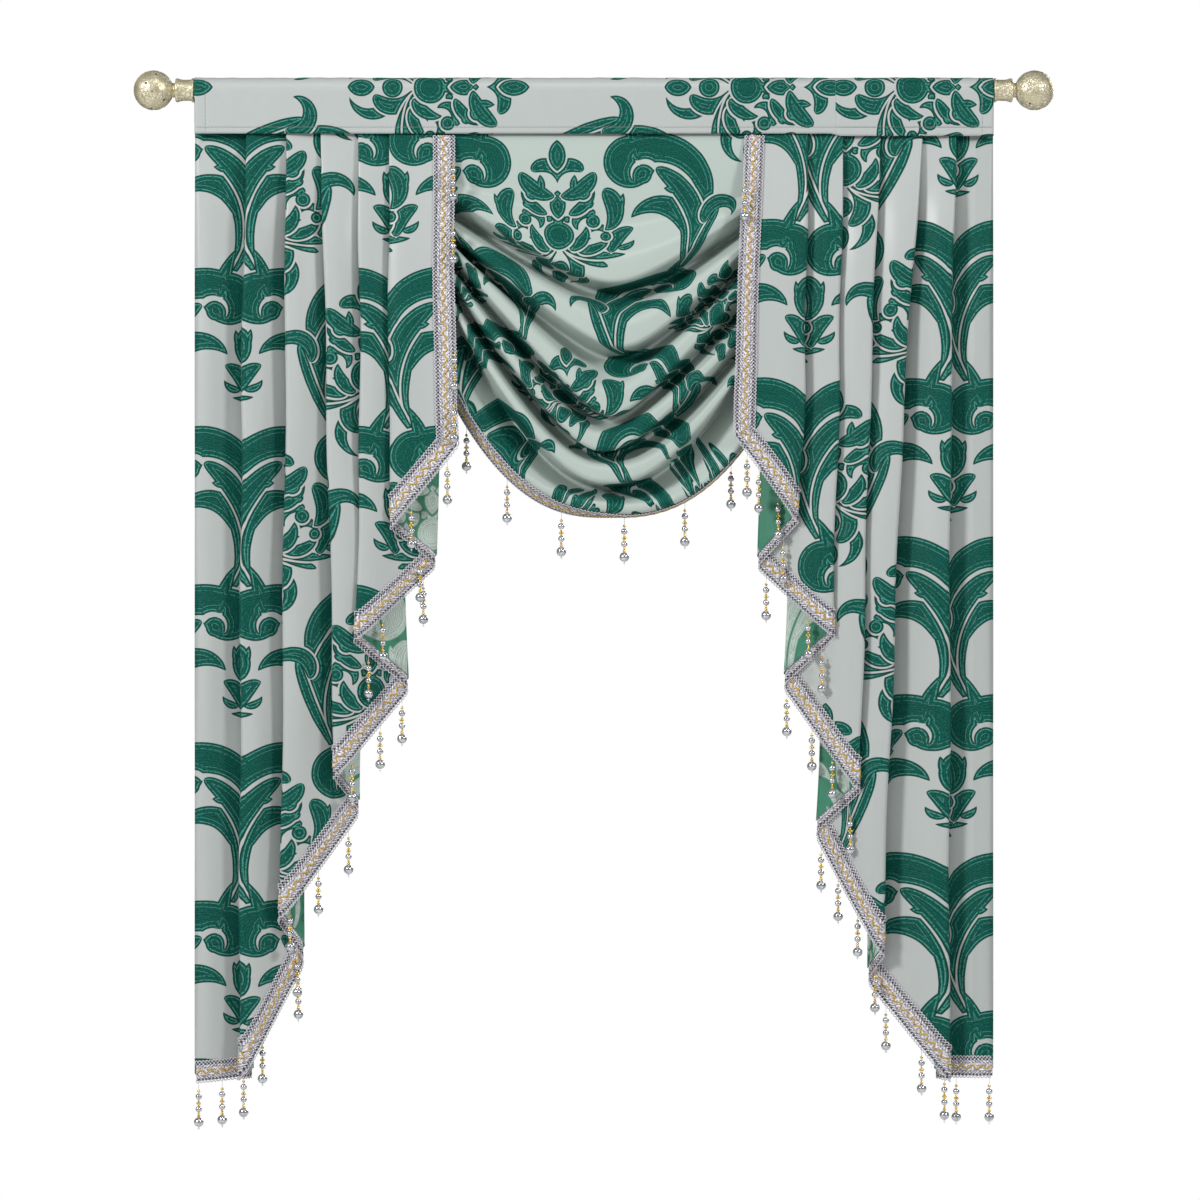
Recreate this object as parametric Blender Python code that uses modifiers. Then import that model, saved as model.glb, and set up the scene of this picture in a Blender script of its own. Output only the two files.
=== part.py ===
"""A swag and tail drape on its curtain pole: a sleeve over the pole, two pleated tails whose slanting
hems fall in a cascade, a swag of cowl folds between them, and beaded braid sewn along the edges.

Lengths are in millimetres until a mesh is made, and metres after that. The pole's axis at mid-width is
the origin, +X runs along the pole, -Y faces the room and +Z is up. "drop" is a distance below the axis.
"""

import math
from dataclasses import dataclass

import bmesh
import bpy
import numpy as np
from mathutils import Matrix

MM = 0.001

# Driving sizes
DRAPE_WIDTH = 1000.0
POLE_DIAMETER = 28.0
FINIAL_BALL_DIAMETER = 50.0
CLOTH = 1.2  # thickness of the cloth
GAP = 0.35  # clearance between pieces that touch in use
SEAM_DROP = 55.0  # lower edge of the sleeve
TUCK = 8.0  # how far tails, swag and braid reach up into the sleeve
BRAID_WIDTH = 24.0
BRAID_OVERHANG = 10.0  # the braid's outer edge beyond the cloth's own edge
BRAID = 1.2  # thickness of the braid
ROOT = 3.0  # how far a beaded drop's thread reaches into the braid

HALF_WIDTH = DRAPE_WIDTH / 2
POLE_RADIUS = POLE_DIAMETER / 2
TOP_DROP = SEAM_DROP - TUCK
BRAID_OFFSET = (CLOTH + BRAID) / 2 + 2 * GAP  # braid's middle layer from the cloth's middle layer

# Knots of everything that changes with height on a tail: pleats open out below the seam, then hang straight.
OPENING_DROPS = (TOP_DROP, SEAM_DROP + 4, 95.0, 145.0, 215.0, 390.0)
OPENING_SHARES = (0.0, 0.0, 0.30, 0.72, 1.0, 1.0)
STRAIGHT_ROWS = (1 / 3, 2 / 3, 1.0)


@dataclass(frozen=True)
class Pleat:
    """One fold edge of a tail. inward_* is its distance from the tail's outer edge."""

    name: str
    inward_top: float
    inward_middle: float
    inward_low: float
    depth_top: float  # Y of the fold's centre at the seam
    depth_open: float  # Y of the fold's centre where the pleat hangs open
    radius_open: float  # 0 marks a free edge
    hem: float  # drop of the braid's outer edge there

    def inward(self, drop):
        """The fold's line bends once, where the pleats stop opening out."""
        bend = OPENING_DROPS[-1]
        if drop < bend:
            share = (drop - TOP_DROP) / (bend - TOP_DROP)
            return self.inward_top + share * (self.inward_middle - self.inward_top)
        share = (drop - bend) / (self.hem - bend)
        return self.inward_middle + share * (self.inward_low - self.inward_middle)


LEFT_TAIL = (
    Pleat("inner_edge", 324, 326, 330, -5.0, -25.0, 0.0, 446),
    Pleat("a_front", 244, 244, 248, -5.2, -15.0, 3.0, 548),
    Pleat("b_back", 306, 305, 303, 3.2, 9.0, 4.0, 595),
    Pleat("b_front", 205, 208, 203, -5.0, -14.8, 3.0, 688),
    Pleat("c_back", 256, 258, 267, 3.2, 8.5, 4.0, 751),
    Pleat("c_front", 158, 166, 176, -5.0, -12.6, 3.2, 859),
    Pleat("d_back", 209, 207, 207, 3.2, 9.5, 4.0, 904),
    Pleat("d_front", 115, 114, 108, -4.8, -12.0, 3.4, 1037),
    Pleat("e_back", 142, 140, 137, 3.0, 8.0, 4.0, 1092),
    Pleat("e_front", 65, 59, 56, -4.6, -10.0, 3.4, 1238),
    Pleat("f_back", 80, 75, 73, 2.8, 5.0, 3.6, 1236),
    Pleat("outer_edge", 0, 0, 0, 0.0, -3.0, 0.0, 1242),
)

RIGHT_TAIL = (
    Pleat("inner_edge", 309, 325, 325, -5.0, -25.0, 0.0, 433),
    Pleat("a_front", 232, 237, 246, -5.2, -15.5, 3.0, 541),
    Pleat("b_back", 281, 291, 294, 3.2, 9.0, 4.0, 597),
    Pleat("b_front", 188, 194, 202, -5.0, -13.0, 3.2, 683),
    Pleat("c_back", 236, 250, 262, 3.2, 9.0, 4.0, 746),
    Pleat("c_front", 141, 155, 168, -5.0, -13.5, 3.0, 876),
    Pleat("d_back", 185, 200, 222, 3.2, 9.0, 4.0, 931),
    Pleat("d_front", 88, 113, 140, -4.8, -12.5, 3.2, 1082),
    Pleat("e_back", 121, 137, 158, 3.0, 8.0, 4.0, 1115),
    Pleat("e_front", 46, 54, 56, -4.6, -11.0, 3.4, 1240),
    Pleat("f_back", 62, 71, 73, 2.8, 4.0, 3.6, 1236),
    Pleat("outer_edge", 0, 0, 0, 0.0, -2.0, 0.0, 1235),
)

SEAM_RADIUS = 1.2  # folds are pressed this tight at the seam

# Where the beaded drops hang: drops down the free edge, then inward distances on each run of the hem.
# Runs alternate between the panels that show and the returns behind them, from the inner edge outwards.
LEFT_EDGE_BEADS = (84, 163, 314, 386)
LEFT_HEM_BEADS = {
    0: (317, 272), 1: (281,), 2: (286, 236), 3: (218,), 4: (259, 232, 197), 6: (192, 155, 120),
    7: (127,), 8: (129, 85, 62), 10: (34, 5),
}
RIGHT_EDGE_BEADS = (109,)
RIGHT_HEM_BEADS = {
    0: (309, 294, 270), 1: (263,), 2: (284, 232), 3: (215,), 4: (258, 227, 202), 5: (182,),
    6: (215, 194, 170), 7: (148,), 8: (134, 90, 62), 10: (46, 5),
}
SWAG_BEADS = (-160, -109, -41, 38, 114, 172)  # X of the drops along the swag's hem
BEAD_DROP = (  # distance below the braid's edge and radius there: a thread, small beads, pearls
    (10, 0.8), (13, 1.9), (19, 4.0), (24, 1.6), (27, 3.0), (30.5, 1.7), (34.5, 4.0),
    (43, 1.7), (51, 6.0), (58, 1.0), (62, 0.8),
)
BEAD_CLEARANCE = 3.0


@dataclass(frozen=True)
class CowlFold:
    """The crest of one fold across the swag: its drop at both sides and at its lowest point."""

    name: str
    left: float
    low: float
    right: float
    low_x: float
    rounding: float  # how far from low_x the line takes to straighten
    power: float  # 1 leaves it straight from there, more makes it sag
    depth_side: float
    depth_middle: float

    def share(self, x):
        """0 at the sides, 1 at the lowest point."""
        side = SWAG_LEFT if x < self.low_x else SWAG_RIGHT
        span = math.hypot(side - self.low_x, self.rounding) - self.rounding
        away = (math.hypot(x - self.low_x, self.rounding) - self.rounding) / span
        return 1 - away**self.power

    def drop(self, x):
        side = self.left if x < self.low_x else self.right
        return side + self.share(x) * (self.low - side)

    def depth(self, x):
        return self.depth_side + self.share(x) * (self.depth_middle - self.depth_side)


SWAG_LEFT, SWAG_RIGHT = -188.0, 196.0
SWAG_TOP_DEPTH = -3.45  # just behind the tails' inner panels
SWAG_PLUMB_DROP, SWAG_LEAN_RADIUS = 62.0, 20.0  # it hangs plumb to here, then leans out to its first fold
SWAG_FOLDS = (
    CowlFold("first", 127, 236, 146, 24, 50, 1.0, -5.0, -14.0),
    CowlFold("second", 170, 317, 191, 34, 44, 1.0, -7.2, -16.5),
    CowlFold("third", 192, 402, 238, 22, 30, 1.0, -9.4, -19.0),
    CowlFold("fourth", 221, 446, 294, 12, 36, 1.1, -11.6, -21.5),
    CowlFold("fifth", 254, 486, 334, 20, 50, 1.3, -13.8, -22.0),
)
SWAG_HEM = CowlFold("hem", 368, 533, 434, 20, 10, 2.4, -8.0, -13.0)
CREST_RADIUS_SIDE, CREST_RADIUS_MIDDLE = 3.2, 9.0
POCKET_RADIUS_SIDE, POCKET_RADIUS_MIDDLE = 2.8, 6.0
POCKET_BEHIND_SIDE, POCKET_BEHIND_MIDDLE = 11.0, 19.0  # a pocket's depth behind its crest
POCKET_LEVEL_SIDE, POCKET_LEVEL_MIDDLE = 0.5, 0.28  # its level, as a share of the way to the next crest
HEM_ROLL_RADIUS = 7.0
HEM_TURN_LEFT, HEM_TURN_RIGHT = 28.0, 4.0  # degrees below level that the rolled hem points
HEM_FLAT = BRAID_WIDTH - BRAID_OVERHANG + 2.0  # straight cloth past the roll, which carries the braid

# The sleeve's lower edge: X and drop
SLEEVE_EDGE = ((-HALF_WIDTH, 55.0), (296.0, 55.0), (308.0, 58.0), (HALF_WIDTH, 58.0))
SLEEVE_FRONT, SLEEVE_BACK = -9.4, 6.2  # Y of its two plies at the seam

# Turned end piece, from the pole's end outwards: X beyond the sleeve's end and radius
FINIAL_PROFILE = (
    (0.0, 0.0), (0.0, 14.0), (1.0, 15.2), (3.0, 15.2), (4.0, 14.0), (6.0, 13.4), (16.0, 13.4),
    (19.0, 14.6), (23.0, 15.0), (24.0, 13.6), (24.6, 9.0),
)
FINIAL_BALL_CENTRE = 51.5

COLOURS = {  # base colour, roughness, metallic
    "jacquard": ((0.42, 0.50, 0.45), 0.45, 0.0),
    "braid": ((0.62, 0.60, 0.60), 0.6, 0.0),
    "antique_brass": ((0.50, 0.44, 0.30), 0.35, 0.9),
}


# ---------------------------------------------------------------- paths


def belt(start, circles, end, arc_steps, line_cuts):
    """Follows a belt from start, round each circle in turn, to end, all in one plane.

    A circle is (centre, signed radius): plus turns left and minus turns right. line_cuts gives, for each
    straight run, the shares of its length at which it is cut. Returns points, left normals and the
    index of each circle's middle point.
    """
    stops = [(np.array(start), 0.0), *[(np.array(c), r) for c, r in circles], (np.array(end), 0.0)]
    headings = []
    for (c1, r1), (c2, r2) in zip(stops, stops[1:]):
        span = c2 - c1
        headings.append(math.atan2(span[1], span[0]) + math.asin((r1 - r2) / np.hypot(*span)))
    points, normals, middles = [], [], []

    def add(point, heading):
        points.append(point)
        normals.append((-math.sin(heading), math.cos(heading)))

    def left_normal(heading):
        return np.array((-math.sin(heading), math.cos(heading)))

    for i, heading in enumerate(headings):
        centre, radius = stops[i]
        ahead, ahead_radius = stops[i + 1]
        begin = centre - radius * left_normal(heading)
        finish = ahead - ahead_radius * left_normal(heading)
        if radius == 0.0:
            add(begin, heading)
        for share in line_cuts[i]:
            add(begin + share * (finish - begin), heading)
        if ahead_radius == 0.0:
            add(finish, heading)
            continue
        turn = math.remainder(headings[i + 1] - heading, 2 * math.pi)
        if turn * ahead_radius < 0 and abs(turn) > 1:
            turn += math.copysign(2 * math.pi, ahead_radius)
        middles.append(len(points) + arc_steps // 2)
        for k in range(arc_steps + 1):
            at = heading + turn * k / arc_steps
            add(ahead - ahead_radius * left_normal(at), at)
    return np.array(points), np.array(normals), middles


def lengths_along(points):
    steps = np.linalg.norm(np.diff(points, axis=0), axis=1)
    return np.concatenate([[0.0], np.cumsum(steps)])


# ---------------------------------------------------------------- meshes


def grid_faces(rows, columns):
    return [
        (r * columns + c, r * columns + c + 1, (r + 1) * columns + c + 1, (r + 1) * columns + c)
        for r in range(rows - 1)
        for c in range(columns - 1)
    ]


def new_object(name, vertices, faces, collection, finish):
    """A mesh object from points in millimetres."""
    mesh = bpy.data.meshes.new(name)
    mesh.from_pydata([tuple(float(x) * MM for x in v) for v in vertices], [], faces)
    mesh.validate()
    piece = bpy.data.objects.new(name, mesh)
    collection.objects.link(piece)
    piece.data.materials.append(finish)
    return piece


def thicken(piece, thickness):
    """Gives an open sheet its thickness, half to each side."""
    shell = piece.modifiers.new("thickness", "SOLIDIFY")
    shell.thickness = thickness * MM
    shell.offset = 0.0
    shell.use_even_offset = True
    shell.use_quality_normals = True


def triangulate(piece):
    cut = piece.modifiers.new("triangles", "TRIANGULATE")
    cut.quad_method = "FIXED"


def finish_material(name):
    colour, roughness, metallic = COLOURS[name]
    material = bpy.data.materials.new(name)
    material.use_nodes = True
    shader = material.node_tree.nodes["Principled BSDF"]
    shader.inputs["Base Color"].default_value = (*colour, 1.0)
    shader.inputs["Roughness"].default_value = roughness
    shader.inputs["Metallic"].default_value = metallic
    return material


# ---------------------------------------------------------------- tails


class Tail:
    """One pleated tail: a cloth that runs from its braided inner edge through its pleats to the outer edge.

    A column is a vertical line of the cloth. Columns 0, 1 and 2 stand at the braid's outer edge, the
    cloth's edge and the braid's inner edge.
    """

    ARC_STEPS = 4

    def __init__(self, pleats, side):
        self.pleats = pleats
        self.side = side  # -1 for the left tail, +1 for the right one
        first_run = np.hypot(pleats[0].inward_middle - pleats[1].inward_middle, 10.0)
        edge_cuts = [BRAID_OVERHANG / first_run, BRAID_WIDTH / first_run, 0.62]
        self.line_cuts = [edge_cuts] + [[0.5]] * (len(pleats) - 2)
        points, _, middles = self.level(OPENING_DROPS[-1])
        self.along = lengths_along(points)
        self.count = len(points)
        self.folds = middles
        fold_columns = [0, *middles, self.count - 1]
        fold_hems = [pleat.hem for pleat in pleats]
        self.hem = np.interp(self.along, self.along[fold_columns], fold_hems)
        slope = np.gradient(self.hem, self.along)
        self.stretch = np.sqrt(1 + slope**2)  # vertical height of a strip over its width

    def level(self, drop):
        """The cloth's outline in plan at one height: (inward, Y) points and face-side normals."""
        share = float(np.interp(drop, OPENING_DROPS, OPENING_SHARES))
        stops = []
        for pleat in self.pleats:
            inward = pleat.inward(drop)
            depth = pleat.depth_top + share * (pleat.depth_open - pleat.depth_top)
            radius = SEAM_RADIUS + share * (pleat.radius_open - SEAM_RADIUS) if pleat.radius_open else 0.0
            stops.append((pleat.name, inward, depth, radius))
        circles = []
        for name, inward, depth, radius in stops[1:-1]:
            if name.endswith("front"):
                circles.append(((inward + radius, depth), -radius))
            else:
                circles.append(((inward - radius, depth), radius))
        return belt(stops[0][1:3], circles, stops[-1][1:3], self.ARC_STEPS, self.line_cuts)

    def point(self, column, drop, off_face=0.0):
        """A point of the cloth's middle layer, or one held off its face side."""
        points, normals, _ = self.level(drop)
        inward, depth = points[column] + off_face * normals[column]
        return (self.side * (HALF_WIDTH - inward), depth, -drop)

    def rows(self, bottom):
        """Drops of a column's vertices: the shared opening knots, then even steps to the bottom."""
        start = OPENING_DROPS[-1]
        return [*OPENING_DROPS, *[start + share * (bottom - start) for share in STRAIGHT_ROWS]]

    def cloth_bottom(self, column):
        return self.hem[column] - BRAID_OVERHANG * self.stretch[column]

    def cloth(self, name, collection, finish):
        columns = range(1, self.count)
        table = [self.rows(self.cloth_bottom(c)) for c in columns]
        rows = len(table[0])
        vertices = [
            self.point(c, drops[r]) for r in range(rows) for c, drops in zip(columns, table)
        ]
        piece = new_object(name, vertices, grid_faces(rows, len(table)), collection, finish)
        thicken(piece, CLOTH)
        triangulate(piece)
        return piece

    def braid_sheet(self):
        """The braid's middle layer: a strip down the inner edge, then one along the hem."""
        vertices, faces, index = [], [], {}

        def vertex(column, drop):
            key = (column, round(drop, 6))
            if key not in index:
                index[key] = len(vertices)
                vertices.append(self.point(column, drop, BRAID_OFFSET))
            return index[key]

        def upper(column):
            return self.hem[column] - BRAID_WIDTH * self.stretch[column]

        for c in range(2):
            left, right = [*OPENING_DROPS, upper(c)], [*OPENING_DROPS, upper(c + 1)]
            for r in range(len(left) - 1):
                faces.append(
                    (vertex(c, left[r]), vertex(c + 1, right[r]), vertex(c + 1, right[r + 1]),
                     vertex(c, left[r + 1]))
                )
        for c in range(self.count - 1):
            faces.append(
                (vertex(c, upper(c)), vertex(c + 1, upper(c + 1)), vertex(c + 1, self.hem[c + 1]),
                 vertex(c, self.hem[c]))
            )
        return vertices, faces

    def bead_roots(self, edge_beads, hem_beads):
        """Points of the braid's outer edge where the beaded drops hang."""
        roots = [self.point(0, drop, BRAID_OFFSET) for drop in edge_beads]
        ends = [0, *self.folds, self.count - 1]
        for run, inwards in hem_beads.items():
            columns = range(ends[run], ends[run + 1] + 1)
            line = np.array([self.point(c, self.hem[c], BRAID_OFFSET) for c in columns])
            reach = HALF_WIDTH - line[:, 0] * self.side
            order = np.argsort(reach)
            for inward in inwards:
                roots.append([np.interp(inward, reach[order], line[order, k]) for k in range(3)])
        return np.array(roots)

    def surface_points(self):
        """Points spread over the cloth and its braid, for keeping the beads clear of them."""
        found = []
        for drop in np.arange(SEAM_DROP, self.hem.max(), 5.0):
            points, normals, _ = self.level(drop)
            bottom = np.interp(np.arange(self.count * 4 - 3) / 4, np.arange(self.count), self.hem)
            spread = [
                np.interp(np.arange(self.count * 4 - 3) / 4, np.arange(self.count), points[:, k])
                for k in range(2)
            ]
            for inward, depth, limit in zip(*spread, bottom):
                if drop < limit - 4:
                    found.append((self.side * (HALF_WIDTH - inward), depth, -drop))
        return np.array(found)


# ---------------------------------------------------------------- swag


class Swag:
    """The middle cloth: cowl folds that hang from side to side and a hem rolled to the back."""

    COLUMNS = 17
    ARC_STEPS = 3

    def __init__(self):
        self.stations = np.linspace(SWAG_LEFT, SWAG_RIGHT, self.COLUMNS)

    def section(self, x):
        """The cloth's outline in a plane across the pole: (Y, Z) points, from the seam to the raw edge."""
        circles = [((SWAG_TOP_DEPTH - SWAG_LEAN_RADIUS, -SWAG_PLUMB_DROP), -SWAG_LEAN_RADIUS)]
        for fold, below in zip(SWAG_FOLDS, (*SWAG_FOLDS[1:], None)):
            share = fold.share(x)
            crest = CREST_RADIUS_SIDE + share * (CREST_RADIUS_MIDDLE - CREST_RADIUS_SIDE)
            circles.append(((fold.depth(x), -fold.drop(x)), crest))
            if below is None:
                continue
            pocket = POCKET_RADIUS_SIDE + share * (POCKET_RADIUS_MIDDLE - POCKET_RADIUS_SIDE)
            behind = POCKET_BEHIND_SIDE + share * (POCKET_BEHIND_MIDDLE - POCKET_BEHIND_SIDE)
            level = POCKET_LEVEL_SIDE + share * (POCKET_LEVEL_MIDDLE - POCKET_LEVEL_SIDE)
            drop = fold.drop(x) + level * (below.drop(x) - fold.drop(x))
            circles.append(((fold.depth(x) + behind, -drop), -pocket))
        across = (x - SWAG_LEFT) / (SWAG_RIGHT - SWAG_LEFT)
        turn = math.radians(HEM_TURN_LEFT + across * (HEM_TURN_RIGHT - HEM_TURN_LEFT))
        run = np.array((math.cos(turn), -math.sin(turn)))
        under = np.array((-math.sin(turn), -math.cos(turn)))
        reach = HEM_FLAT + BRAID_OVERHANG
        centre = np.array((SWAG_HEM.depth(x), -SWAG_HEM.drop(x)))
        centre += (0, HEM_ROLL_RADIUS * math.cos(turn) + reach * math.sin(turn))
        circles.append((tuple(centre), HEM_ROLL_RADIUS))
        end = centre + HEM_ROLL_RADIUS * under + HEM_FLAT * run
        cuts = [[]] * (len(circles) + 1)
        points, _, _ = belt((SWAG_TOP_DEPTH, -TOP_DROP), circles, tuple(end), self.ARC_STEPS, cuts)
        return points, run

    def cloth(self, name, collection, finish):
        sections = [self.section(x)[0] for x in self.stations]
        rows = len(sections[0])
        vertices = [(x, *s[r]) for r in range(rows) for x, s in zip(self.stations, sections)]
        piece = new_object(name, vertices, grid_faces(rows, self.COLUMNS), collection, finish)
        thicken(piece, CLOTH)
        triangulate(piece)
        return piece

    def braid_lines(self):
        """The braid's middle layer as three lines: inner edge, cloth's edge and outer edge."""
        lines = []
        for along in (BRAID_OVERHANG - BRAID_WIDTH, 0.0, BRAID_OVERHANG):
            ends = [(x, *(self.section(x)[0][-1] + along * self.section(x)[1])) for x in self.stations]
            lines.append(np.array(ends))
        grid = np.array(lines)
        across = np.gradient(grid, axis=1)
        down = np.gradient(grid, axis=0)
        normal = np.cross(down, across)
        normal /= np.linalg.norm(normal, axis=2, keepdims=True)
        if normal[1, self.COLUMNS // 2, 2] > 0:
            normal = -normal
        return grid + BRAID_OFFSET * normal

    def braid_sheet(self):
        grid = self.braid_lines()
        return grid.reshape(-1, 3).tolist(), grid_faces(3, self.COLUMNS)

    def bead_roots(self, stations):
        grid = self.braid_lines()
        inside = grid[2] + (grid[1] - grid[2]) * ROOT / BRAID_OVERHANG
        return np.array([[np.interp(x, inside[:, 0], inside[:, k]) for k in range(3)] for x in stations])

    def surface_points(self):
        found = []
        for x in np.linspace(SWAG_LEFT, SWAG_RIGHT, 97):
            points = self.section(x)[0]
            along = lengths_along(points)
            at = np.arange(0, along[-1], 4.0)
            found.extend((x, np.interp(a, along, points[:, 0]), np.interp(a, along, points[:, 1])) for a in at)
        return np.array(found)


# ---------------------------------------------------------------- beads and braid


def bead_centres(root, push):
    """The thread leans forward by push before the first bead, then hangs plumb."""
    return np.array([(root[0], root[1] - push, root[2] - below) for below, _ in BEAD_DROP])


def clear_push(root, surfaces):
    """The smallest lean that keeps every bead clear of the cloth behind it."""
    radii = np.array([radius for _, radius in BEAD_DROP])
    near = surfaces[np.abs(surfaces[:, 0] - root[0]) < 14]
    near = near[(near[:, 2] < root[2] + 5) & (near[:, 2] > root[2] - 75)]
    for push in np.arange(0.0, 30.0, 1.0):
        centres = bead_centres(root, push)[1:]
        if len(near) == 0:
            return push
        away = np.linalg.norm(centres[:, None, :] - near[None, :, :], axis=2).min(axis=1)
        if np.all(away > radii[1:] + CLOTH / 2 + BEAD_CLEARANCE):
            return push
    return 30.0


def bead_strands(name, roots, rise, surfaces, collection, finish):
    """All the drops of one braid as four-sided strands that follow the beads' outline."""
    vertices, faces = [], []
    corners = [(math.cos(a), math.sin(a)) for a in (0, math.pi / 2, math.pi, 3 * math.pi / 2)]
    for root in roots:
        push = clear_push(root, surfaces)
        rings = [((root[0], root[1], root[2] + rise), 0.75), ((root[0], root[1], root[2] - 1.5), 0.8)]
        rings += [(centre, radius) for centre, (_, radius) in zip(bead_centres(root, push), BEAD_DROP)]
        base = len(vertices)
        for centre, radius in rings:
            vertices.extend((centre[0] + radius * c, centre[1] + radius * s, centre[2]) for c, s in corners)
        for r in range(len(rings) - 1):
            for k in range(4):
                a, b = base + 4 * r + k, base + 4 * r + (k + 1) % 4
                faces.append((b, a, a + 4, b + 4))
        faces.append((base, base + 1, base + 2, base + 3))
        last = base + 4 * (len(rings) - 1)
        faces.append((last + 3, last + 2, last + 1, last))
    piece = new_object(name, vertices, faces, collection, finish)
    piece.hide_render = True
    piece.display_type = "WIRE"
    return piece


def beaded_braid(name, sheet, strands, collection, finish):
    """A woven band with its beaded drops sewn along the outer edge, as one solid."""
    piece = new_object(name, sheet[0], sheet[1], collection, finish)
    thicken(piece, BRAID)
    join = piece.modifiers.new("beads", "BOOLEAN")
    join.operation = "UNION"
    join.solver = "EXACT"
    join.object = strands
    triangulate(piece)
    return piece


# ---------------------------------------------------------------- sleeve and pole


def sleeve(name, collection, finish):
    """The header: one cloth folded over the pole and stitched down at the seam."""
    stations = [
        (x, drop)
        for (x0, d0), (x1, d1) in zip(SLEEVE_EDGE, SLEEVE_EDGE[1:])
        for x, drop in [(x0, d0), ((x0 + x1) / 2, (d0 + d1) / 2)]
    ] + [SLEEVE_EDGE[-1]]
    radius = POLE_RADIUS + GAP + CLOTH / 2
    vertices = []
    for x, drop in stations:
        points, _, _ = belt(
            (SLEEVE_FRONT, -drop), [((0.0, 0.0), -radius)], (SLEEVE_BACK, -drop), 14, [[0.5], [0.5]]
        )
        vertices.extend((x, y, z) for y, z in points)
    rows = len(points)
    piece = new_object(name, vertices, grid_faces(len(stations), rows), collection, finish)
    thicken(piece, CLOTH)
    triangulate(piece)
    return piece


def pole(name, collection, finish):
    mesh = bpy.data.meshes.new(name)
    shape = bmesh.new()
    turn = Matrix.Rotation(math.pi / 2, 4, "Y")
    bmesh.ops.create_cone(
        shape, cap_ends=True, segments=40, radius1=POLE_RADIUS * MM, radius2=POLE_RADIUS * MM,
        depth=DRAPE_WIDTH * MM, matrix=turn,
    )
    shape.to_mesh(mesh)
    shape.free()
    piece = bpy.data.objects.new(name, mesh)
    collection.objects.link(piece)
    piece.data.materials.append(finish)
    for face in mesh.polygons:
        face.use_smooth = len(face.vertices) == 4
    triangulate(piece)
    return piece


def finial(name, side, collection, finish):
    """A turned collar, cup and ball that plugs the pole's end."""
    profile = list(FINIAL_PROFILE)
    ball = FINIAL_BALL_DIAMETER / 2
    neck = math.asin(FINIAL_PROFILE[-1][1] / ball)
    for k in range(10):
        angle = neck + (math.pi - neck) * k / 9
        profile.append((FINIAL_BALL_CENTRE - ball * math.cos(angle), ball * math.sin(angle)))
    start = HALF_WIDTH + GAP
    points = [(side * (start + x), 0.0, max(r, 0.0)) for x, r in profile]
    mesh = bpy.data.meshes.new(name)
    mesh.from_pydata([tuple(v * MM for v in p) for p in points], [(k, k + 1) for k in range(len(points) - 1)], [])
    piece = bpy.data.objects.new(name, mesh)
    collection.objects.link(piece)
    piece.data.materials.append(finish)
    turned = piece.modifiers.new("turned", "SCREW")
    turned.axis = "X"
    turned.steps = 20
    turned.render_steps = 20
    turned.use_merge_vertices = True
    turned.merge_threshold = 0.00005
    turned.use_normal_calculate = True
    turned.use_smooth_shade = True
    triangulate(piece)
    return piece


# ---------------------------------------------------------------- build


def clear_scene():
    for piece in list(bpy.data.objects):
        bpy.data.objects.remove(piece)


def build():
    clear_scene()
    scene = bpy.context.scene
    parts = bpy.data.collections.new("swag_and_tail_drape")
    helpers = bpy.data.collections.new("helpers")
    scene.collection.children.link(parts)
    scene.collection.children.link(helpers)

    def finish(slot, name):
        material = finish_material(name)
        material.name = slot
        return material

    left, right, swag = Tail(LEFT_TAIL, -1), Tail(RIGHT_TAIL, 1), Swag()
    surfaces = np.concatenate([left.surface_points(), right.surface_points(), swag.surface_points()])

    pole("pole", parts, finish("pole_finish", "antique_brass"))
    finial("finial_left", -1, parts, finish("finial_left_finish", "antique_brass"))
    finial("finial_right", 1, parts, finish("finial_right_finish", "antique_brass"))
    sleeve("sleeve", parts, finish("sleeve_cloth", "jacquard"))
    left.cloth("tail_left", parts, finish("tail_left_cloth", "jacquard"))
    right.cloth("tail_right", parts, finish("tail_right_cloth", "jacquard"))
    swag.cloth("swag", parts, finish("swag_cloth", "jacquard"))
    braids = (
        ("braid_left", left.braid_sheet(), left.bead_roots(LEFT_EDGE_BEADS, LEFT_HEM_BEADS), ROOT),
        ("braid_right", right.braid_sheet(), right.bead_roots(RIGHT_EDGE_BEADS, RIGHT_HEM_BEADS), ROOT),
        ("braid_swag", swag.braid_sheet(), swag.bead_roots(SWAG_BEADS), 0.2),
    )
    for name, sheet, roots, rise in braids:
        strands = bead_strands(name + "_beads", roots, rise, surfaces, helpers, finish(name + "_beads", "braid"))
        beaded_braid(name, sheet, strands, parts, finish(name + "_woven", "braid"))


build()
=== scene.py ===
"""The looks of a swag and tail drape on its curtain pole.

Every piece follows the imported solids: woven damask cloth with its reverse side, gimp braid with picot
edges and a gold wave cord, beaded drops, and a hammered metal pole with ball finials. Sizes in the
tables are millimetres, and meshes are metres. The pole's axis at mid-width is the origin, +X runs along
the pole, -Y faces the room and +Z is up. A "drop" is a distance below the pole's axis.
"""

import logging
import math
from dataclasses import dataclass, field
from enum import Enum
from typing import Any, Callable, Sequence

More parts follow.
